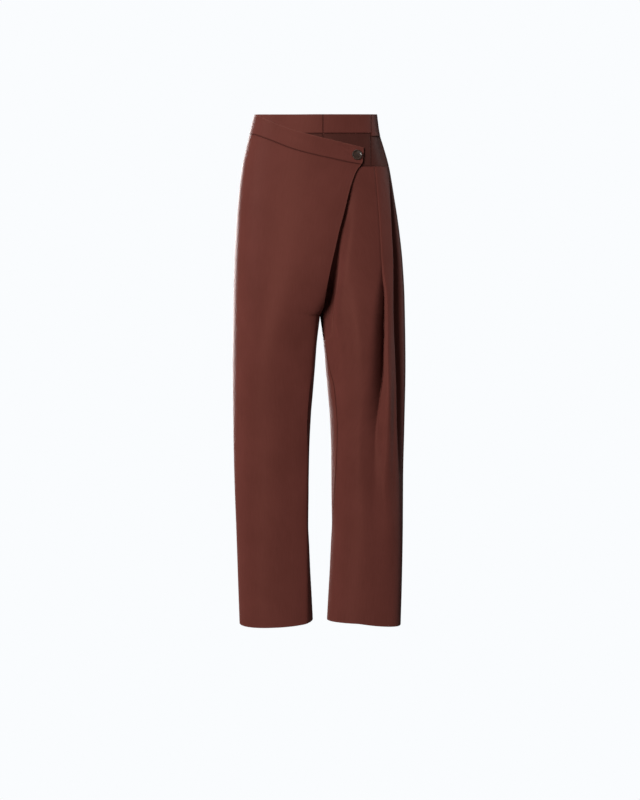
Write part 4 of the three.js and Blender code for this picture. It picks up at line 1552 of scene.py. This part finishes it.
@dataclass
class PleatedFront:
    """The left front, hung from the yoke in a box pleat, with the front of the left leg below."""

    form: Form
    finish: TwillFinish = TWILL
    steps: int = 420  # points round a section before pleating
    sections: int = 560
    past_ends: float = 16  # how far the sections run on past the yoke's seam and the hem
    groove_columns: tuple[int, ...] = (26, 17, 22, 11, 26)  # between the marks of the two grooves
    creases: tuple[Crease, ...] = (
        WRAP_HOLLOW,
        Crease(View.FRONT, ((54, -372), (58, -450), (64, -620)), -2.0, 17),
        Crease(View.FRONT, ((22, -452), (36, -520), (44, -640)), -1.2, 12),
        Crease(View.FRONT, ((84, -430), (92, -560), (96, -720)), 1.1, 17),
        Crease(View.FRONT, ((66, -700), (60, -840), (68, -1000)), -1.1, 20),
        Crease(View.FRONT, ((118, -760), (124, -900), (118, -1060)), -1.6, 17),
        Crease(View.FRONT, ((146, -800), (148, -920), (144, -1040)), 1.1, 12),
        Crease(View.FRONT, ((92, -760), (96, -880), (92, -1020)), 1.0, 16),
    )

    def rows(self, heights: Array) -> list[PleatRow]:
        """The front's pleated section at each of many heights.

        Args:
            heights: The heights.

        Returns:
            A row for each.
        """
        folds = [
            (ahead, {name: table.column(name) for name in table.names[1:]})
            for table, ahead in ((FRONT_FOLD, True), (BACK_FOLD, False))
        ]
        rows = []
        for z in heights:
            cut = self.form.section(Side.LEFT, Layer.UNDER, z)
            inseam = np.radians(self.form.inseam[Side.LEFT](z))
            inner = cut.angle_at(centre_front(z)) if z > CROTCH else inseam
            angle = np.linspace(float(inner), SIDE_SEAM, self.steps)
            past_front = angle > float(cut.angle_at(cut.front.middle))
            rows.append(PleatRow.of(float(z), np.stack(cut.point(angle), axis=-1), past_front, folds))
        return rows

    def columns(self) -> tuple[Array, int]:
        """Stations along the cloth, close together at its two edges and in the grooves.

        Returns:
            The stations, which count the marks that have been passed, and the number of marks.
        """
        first, last = np.linspace(0, 1, 40), np.linspace(0, 1, 16)
        rough_first, rough_last = 200, 30  # lengths of the cloth before the first mark and after the last
        parts = (
            np.concatenate([EDGE_STEPS / rough_first, first[first > 0.03]]),
            *(np.linspace(0, 1, count) for count in self.groove_columns),
            np.concatenate([last[last < 0.8], 1 - EDGE_STEPS[::-1] / rough_last]),
        )
        return np.unique(np.concatenate([part + k for k, part in enumerate(parts)])), len(parts)

    def panel(self) -> ClothWall:
        """The whole left front.

        Returns:
            The cloth.
        """
        stations_at, marks = self.columns()
        dense = np.linspace(YOKE_SEAM + self.past_ends, HEM - self.past_ends, self.sections)
        rows = self.rows(dense)
        flat = np.stack([row.at_stations(stations_at, pleated=False) for row in rows])
        pleated = np.stack([row.at_stations(stations_at, pleated=True) for row in rows])
        height = panel_heights(YOKE_SEAM, 92, 158)[:, None] + 0 * stations_at
        angle = lerp(0, SIDE_SEAM, stations_at / marks)

        def read(values: Array, z: Array) -> Array:
            """Each column's value at its heights."""
            columns = [np.interp(z[:, j], dense[::-1], values[::-1, j]) for j in range(len(stations_at))]
            return np.stack(columns, axis=-1)

        fade = 1 - smooth((YOKE_SEAM - height) / WAIST_BLEND)
        z = height + (yoke_foot(read(flat[..., 1], height)) - YOKE_SEAM) * fade + hem_shift(height, angle)
        return ClothWall(
            name="left_front_cloth",
            node="front_left",
            points=joined(read(pleated[..., 0], z), read(pleated[..., 1], z), z),
            turn=1,
            cut=Cut(0.33, 1.0, 0.258),
            rests_on=("yoke_front_left", "yoke_side_left"),
            edges=(Edge.SEAM, Edge.FOLD, Edge.SEAM, Edge.SEAM),
            creases=self.creases,
            sway=Sway(amount=0.3, phase=2.1),
            hem=True,
        )

    def build(self) -> list[bpy.types.Object]:
        """Makes the left front."""
        return [self.panel().build(self.finish)]


@dataclass
class Backs:
    """The two backs, each from its side seam to the centre back seam and the inseam."""

    form: Form
    finish: TwillFinish = TWILL
    spacing: float = 3.4
    right_creases: tuple[Crease, ...] = (
        Crease(View.BACK, ((-16, -426), (-54, -462), (-104, -476)), -3.2, 14),
        Crease(View.BACK, ((-22, -470), (-66, -520), (-120, -540)), -2.5, 17),
        Crease(View.BACK, ((-60, -560), (-70, -700), (-62, -860)), 2.3, 25),
        Crease(View.BACK, ((-104, -620), (-112, -790), (-104, -960)), -3.0, 21),
        Crease(View.BACK, ((-138, -560), (-146, -720), (-140, -930)), 1.9, 19),
        Crease(View.BACK, ((-34, -620), (-40, -760), (-36, -900)), -1.7, 15),
        Crease(View.BACK, ((-70, -890), (-76, -980), (-72, -1080)), -1.9, 18),
    )
    left_creases: tuple[Crease, ...] = (
        Crease(View.BACK, ((18, -430), (50, -470), (112, -500)), -2.8, 15),
        Crease(View.BACK, ((24, -492), (58, -540), (98, -556)), -1.9, 15),
        Crease(View.BACK, ((72, -580), (66, -730), (76, -880)), 2.5, 24),
        Crease(View.BACK, ((112, -570), (104, -760), (114, -930)), -2.7, 20),
        Crease(View.BACK, ((144, -600), (140, -760), (146, -900)), 1.7, 18),
        Crease(View.BACK, ((40, -700), (46, -820), (40, -960)), -2.1, 16),
        Crease(View.BACK, ((90, -930), (86, -1010), (92, -1090)), -1.7, 16),
    )

    def panel(self, side: Side) -> ClothWall:
        """One side's back.

        Args:
            side: The wearer's right or left.

        Returns:
            The cloth.
        """
        form = self.form
        is_left = side is Side.LEFT
        layer = Layer.UNDER if is_left else Layer.WRAP
        top = float(back_band_foot(np.zeros(1))[0])
        share = stations(300, self.spacing)
        height = panel_heights(top, *LONG_PANEL_ROWS)[:, None] + 0 * share

        def turn_at(z: Array) -> Array:
            """The turn from the side seam to the centre back seam, or to the inseam."""
            centre_seam = form.section(side, layer, z).angle_at(-side * CENTRE_LAP, behind=True)
            low = 2 * math.pi + np.radians(form.inseam[side](z))
            return np.where(z > CROTCH, centre_seam, low) - SIDE_SEAM

        def angle_for(z: Array) -> Array:
            """Each column's angle."""
            return SIDE_SEAM + turned_by(share, turn_at, z)

        _x, y = form.section(side, layer, height).point(angle_for(height))
        waist = (back_band_foot(y) - top) * (1 - smooth((top - height) / WAIST_BLEND))
        z = height + waist + hem_shift(height, angle_for(height))
        return ClothWall(
            name=f"{side.name.lower()}_back_cloth",
            node=f"back_{side.name.lower()}",
            points=joined(*form.section(side, layer, z).point(angle_for(z)), z),
            turn=int(side),
            cut=Cut(0.33, 1.09, 0.28),
            rests_on=("waistband_back",),
            edges=(Edge.SEAM, Edge.FOLD, Edge.SEAM, Edge.SEAM),
            creases=self.left_creases if is_left else self.right_creases,
            starts_at_side=True,
            sway=Sway(phase=1.2 if is_left else 3.0),
            hem=True,
        )

    def build(self) -> list[bpy.types.Object]:
        """Makes both backs."""
        return [self.panel(side).build(self.finish) for side in (Side.RIGHT, Side.LEFT)]


def select_only(*pieces: bpy.types.Object) -> None:
    """Selects some objects and nothing else, and makes the first of them active.

    Args:
        pieces: The objects, if any.
    """
    bpy.ops.object.select_all(action="DESELECT")
    for piece in pieces:
        piece.select_set(True)
    if pieces:
        bpy.context.view_layer.objects.active = pieces[0]


def cylinder(
    radius: float, foot: float, top: float, vertices: int, place: tuple[float, float] = (0, 0)
) -> bpy.types.Object:
    """Adds an upright cylinder, alone selected.

    Args:
        radius: Its radius, in millimetres as all sizes here.
        foot: The height of its lower end.
        top: The height of its upper end.
        vertices: Corners round it.
        place: The x and y of its axis.

    Returns:
        The cylinder.
    """
    select_only()
    bpy.ops.mesh.primitive_cylinder_add(
        vertices=vertices,
        radius=radius * METRE,
        depth=(top - foot) * METRE,
        location=(place[0] * METRE, place[1] * METRE, (foot + top) / 2 * METRE),
    )
    bpy.ops.object.transform_apply(location=True, rotation=True, scale=True)
    return bpy.context.object


def finish_with(piece: bpy.types.Object, kind: str, **settings: object) -> None:
    """Applies a modifier to the active object.

    Args:
        piece: The object.
        kind: The modifier's type.
        settings: Its properties.
    """
    modifier = piece.modifiers.new(kind.lower(), kind)
    for name, value in settings.items():
        setattr(modifier, name, value)
    bpy.ops.object.modifier_apply(modifier=modifier.name)


@dataclass
class HipButton:
    """The four-hole button on the slanting band's tab, with its stitches and thread shank."""

    form: Form
    horn: HornFinish = HornFinish()
    spun: ThreadFinish = ThreadFinish()
    x: float = 78.5
    z: float = -99.8
    radius: float = 11.0
    thickness: float = 3.6
    lift: float = 0.4  # clear of the slanting band
    # Steps in from the edge to the middle of the face, and down: the rim, its inner slope, and the dish.
    face_steps: tuple[tuple[float, float], ...] = (
        (2.0, 0.0), (0.9, -0.7), (1.2, -0.35), (1.6, -0.15), (2.4, 0.0),
    )
    back_step: tuple[float, float] = (2.4, -0.15)
    edge_round: float = 0.55
    holes: tuple[int, ...] = (45, 135, 225, 315)  # their directions, in degrees
    hole_radius: float = 0.85
    hole_reach: float = 2.3
    dish: float = 1.2  # how deep the middle of the face lies
    stitch_radius: float = 0.32
    # Direction of each group of stitches, and its rise over the dish.
    stitch_groups: tuple[tuple[int, float], ...] = ((45, 0.35), (135, 0.63))
    stitch_dip: float = 1.6  # how far a stitch's ends reach down into the holes
    shank_depth: float = 5.2
    shank_radius: float = 1.4
    shank_turns: int = 7
    coil_radius: float = 0.42  # of the thread that is wound round the shank

    def seat(self) -> Matrix:
        """Where the button sits, in metres, with +Z pointing straight out of the band.

        Returns:
            The place and turn.
        """
        apart = 4  # millimetres to each side, to measure the band's slope

        def at(x: float, z: float) -> Vector:
            """The band's surface at an x and a height."""
            cut = self.form.section(Side.RIGHT, Layer.WRAP, np.array(z), -BAND_PROUD)
            px, py = cut.point(cut.angle_at(x))
            return Vector((float(px), float(py), z))

        along = (at(self.x + apart, self.z) - at(self.x - apart, self.z)).normalized()
        up = (at(self.x, self.z + apart) - at(self.x, self.z - apart)).normalized()
        out = along.cross(up).normalized()
        turned = Matrix((along, out.cross(along), out)).transposed().to_4x4()
        return Matrix.Translation(at(self.x, self.z) * METRE) @ turned

    def disc(self) -> bpy.types.Object:
        """The turned disc with its raised rim, dished middle and four holes.

        Returns:
            The disc.
        """
        top = self.lift + self.thickness
        piece = cylinder(self.radius, self.lift, top, 64)
        bpy.ops.object.mode_set(mode="EDIT")
        for facing, steps in ((1, self.face_steps), (-1, (self.back_step,))):
            self.select_faces(piece, facing)
            for inset, sink in steps:
                bpy.ops.mesh.inset(thickness=inset * METRE, depth=0)
                bpy.ops.transform.translate(value=(0, 0, sink * METRE))
        bpy.ops.object.mode_set(mode="OBJECT")
        rounded = {"width": self.edge_round * METRE, "segments": 4}
        finish_with(piece, "BEVEL", **rounded, limit_method="ANGLE", angle_limit=math.radians(28))
        for degrees in self.holes:
            angle = math.radians(degrees)
            place = (self.hole_reach * math.cos(angle), self.hole_reach * math.sin(angle))
            bit = cylinder(self.hole_radius, -1.5 * top, 2.5 * top, 20, place)
            select_only(piece)
            finish_with(piece, "BOOLEAN", operation="DIFFERENCE", object=bit)
            bpy.data.objects.remove(bit)
        bpy.ops.object.shade_smooth_by_angle(angle=math.radians(38))
        return piece

    @staticmethod
    def select_faces(piece: bpy.types.Object, facing: int) -> None:
        """Selects the flat end that faces up or down.

        Args:
            piece: The object, in edit mode.
            facing: 1 for the upper end, and -1 for the lower one.
        """
        bpy.ops.mesh.select_all(action="DESELECT")
        edited = bmesh.from_edit_mesh(piece.data)
        level = max(facing * face.calc_center_median().z for face in edited.faces)
        for face in edited.faces:
            flat = facing * face.normal.z > 0.99
            if flat and abs(facing * face.calc_center_median().z - level) < 1e-6:
                face.select_set(True)
        bmesh.update_edit_mesh(piece.data)

    def stitches(self) -> list[bpy.types.Object]:
        """Two crossed groups of three stitches through the holes, the second over the first.

        Returns:
            The stitches.
        """
        # The stitches lie side by side, closer together in the holes, and the middle one is the highest.
        made = []
        dish = self.lift + self.thickness - self.dish
        for degrees, lowest in self.stitch_groups:
            angle = math.radians(degrees)
            reach = Vector((math.cos(angle), math.sin(angle), 0)) * self.hole_reach
            for shift in (-1, 0, 1):
                beside = Vector((-math.sin(angle), math.cos(angle), 0)) * shift * self.stitch_radius * 1.7
                rise = lowest - 0.08 * abs(shift)
                down, over = Vector((0, 0, dish - self.stitch_dip)), Vector((0, 0, dish + rise * 0.8))
                route = [
                    -reach + beside * 0.6 + down,
                    -reach + beside + over,
                    beside * 1.1 + Vector((0, 0, dish + rise + 0.25)),
                    reach + beside + over,
                    reach + beside * 0.6 + down,
                ]
                made.append(self.strand(route, self.stitch_radius))
        return made

    def shank(self) -> list[bpy.types.Object]:
        """The bundle of threads behind the disc, and the thread that is wound round it.

        Returns:
            The coil and the bundle.
        """
        in_a_turn = 12  # points of the coil
        steps = self.shank_turns * in_a_turn
        reach = self.shank_radius - 0.35
        coil = []
        for k in range(steps + 1):
            angle = 2 * math.pi * k / in_a_turn
            z = lerp(1.2 - self.shank_depth, self.lift - 0.1, k / steps)
            coil.append(Vector((math.cos(angle) * reach, math.sin(angle) * reach, z)))
        wound = self.strand(coil, self.coil_radius)
        bundle = cylinder(self.shank_radius - 0.3, -self.shank_depth, self.lift, 20)
        finish_with(bundle, "BEVEL", width=0.3 * METRE, segments=2)
        return [wound, bundle]

    @staticmethod
    def strand(route: Sequence[Vector], radius: float) -> bpy.types.Object:
        """A round thread along a route, as a closed mesh.

        Args:
            route: Its points, in millimetres.
            radius: Half of its thickness.

        Returns:
            The thread.
        """
        curve = bpy.data.curves.new("strand", "CURVE")
        curve.dimensions = "3D"
        curve.bevel_depth = radius * METRE
        curve.bevel_resolution = 3
        curve.use_fill_caps = True
        curve.resolution_u = 5
        spline = curve.splines.new("NURBS")
        spline.points.add(len(route) - 1)
        for knot, place in zip(spline.points, route):
            knot.co = (*(place * METRE), 1)
        spline.use_endpoint_u = True
        spline.order_u = 3
        piece = bpy.data.objects.new("strand", curve)
        bpy.context.scene.collection.objects.link(piece)
        select_only(piece)
        bpy.ops.object.convert(target="MESH")
        return bpy.context.object

    def thread(self) -> bpy.types.Object:
        """The stitches and the shank, as one mesh.

        Returns:
            The thread.
        """
        select_only(*self.stitches(), *self.shank())
        bpy.ops.object.join()
        return bpy.context.object

    def build(self) -> list[bpy.types.Object]:
        """Makes the button and its thread, and seats them on the band.

        Returns:
            The two pieces.
        """
        seat = self.seat()
        made = {"hip_button_horn": (self.disc(), self.horn), "hip_button_thread": (self.thread(), self.spun)}
        for name, (piece, finish) in made.items():
            piece.name = piece.data.name = name
            piece.data.transform(seat)
            piece.data.materials.clear()
            piece.data.materials.append(finish.material())
        (disc, _horn), (thread, _spun) = made.values()
        pieces_done(disc, "button")
        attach(thread, BODY)
        return [disc, thread]


@dataclass(frozen=True)
class Softbox:
    """A soft rectangular light: where it stands, what it points at, its width and height, and its power."""

    name: str
    place: tuple[float, float, float]
    aim: tuple[float, float, float]
    size: tuple[float, float]
    watts: float

    def build(self) -> None:
        """Adds the light, which no view shows."""
        lamp = bpy.data.lights.new(self.name, "AREA")
        lamp.shape = "RECTANGLE"
        lamp.size, lamp.size_y = self.size
        lamp.energy = self.watts
        stand = bpy.data.objects.new(self.name, lamp)
        stand.location = self.place
        ahead = Vector(self.aim) - Vector(self.place)
        stand.rotation_euler = ahead.to_track_quat("-Z", "Y").to_euler()
        stand.visible_camera = False
        bpy.context.scene.collection.objects.link(stand)


@dataclass
class Studio:
    """The pale floor and backdrop, the soft lights, and the camera at the photograph's place, in metres."""

    camera_distance: float = 4.2
    camera_height: float = -0.623
    shown_height: float = 1.744  # from the top to the foot of the picture at the object's middle
    sensor_mm: float = 36.0
    floor_z: float = -1.5
    dome_radius: float = 14.0
    paper: str = "#FAFCFE"
    sky: str = "#E9ECF2"
    sky_strength: float = 0.05
    lights: tuple[Softbox, ...] = (
        Softbox("key", (-1.8, -4.25, 0.3), (0, 0, -0.55), (1.1, 2.6), 180),
        Softbox("left", (-1.3, -0.5, 0.3), (-0.18, 0, -0.25), (0.4, 0.5), 5),
        Softbox("fill", (1.9, -4.2, 0), (0, 0, -0.55), (1.6, 2.6), 13),
        Softbox("right", (3.6, 1.7, 0.4), (0, 0, -0.55), (1.2, 2.6), 16),
        Softbox("back", (-1.4, 4.2, 0.6), (0, 0, -0.55), (2.2, 2.6), 150),
        Softbox("top", (0, 0.5, 2.4), (0, 0.05, 0), (1.2, 1.2), 16),
    )

    def build(self) -> None:
        """Sets the stage."""
        self.backdrop()
        self.surround()
        for light in self.lights:
            light.build()
        self.camera()
        bpy.context.scene.view_settings.view_transform = "Standard"

    def backdrop(self) -> None:
        """A pale floor inside a pale dome, so that every view has the same plain ground."""
        material, tree = bare_material("pale_paper")
        glow = add_node(tree, "Emission", {"Color": linear(self.paper), "Strength": 1.0})
        add_node(tree, "OutputMaterial", {"Surface": glow.outputs[0]})
        select_only()
        bpy.ops.mesh.primitive_circle_add(vertices=96, radius=self.dome_radius, fill_type="NGON")
        floor = bpy.context.object
        floor.name = "floor"
        floor.location = (0, 0, self.floor_z)
        bpy.ops.mesh.primitive_uv_sphere_add(segments=64, ring_count=32, radius=self.dome_radius)
        dome = bpy.context.object
        dome.name = "backdrop"
        for stage_piece in (floor, dome):
            stage_piece.data.materials.append(material)
            stage_piece.visible_diffuse = False
            stage_piece.visible_glossy = False
            stage_piece.visible_shadow = False

    def surround(self) -> None:
        """A dim even light from all round."""
        world = bpy.data.worlds.new("studio")
        bpy.context.scene.world = world
        world.use_nodes = True
        world.node_tree.nodes.clear()
        dim = {"Color": linear(self.sky), "Strength": self.sky_strength}
        glow = add_node(world.node_tree, "Background", dim)
        add_node(world.node_tree, "OutputWorld", {"Surface": glow.outputs[0]})

    def camera(self) -> None:
        """The camera, level and straight in front."""
        lens = bpy.data.cameras.new("camera")
        lens.sensor_width = self.sensor_mm
        lens.lens = self.sensor_mm * self.camera_distance / self.shown_height
        lens.clip_end = 100
        camera = bpy.data.objects.new("camera", lens)
        camera.location = (0, -self.camera_distance, self.camera_height)
        camera.rotation_euler = (math.pi / 2, 0, 0)
        bpy.context.scene.collection.objects.link(camera)
        bpy.context.scene.camera = camera


def main() -> None:
    """Builds the studio and the trousers, piece by piece."""
    logging.basicConfig(level=logging.INFO, format="%(name)s: %(message)s")
    Studio().build()
    form = Form()
    for part in (Waistband, Yoke, WrapFront, PleatedFront, Backs, HipButton):
        for piece in part(form).build():
            log.info("%s: %d faces", piece.name, len(piece.data.polygons))


if __name__ == "__main__":
    main()
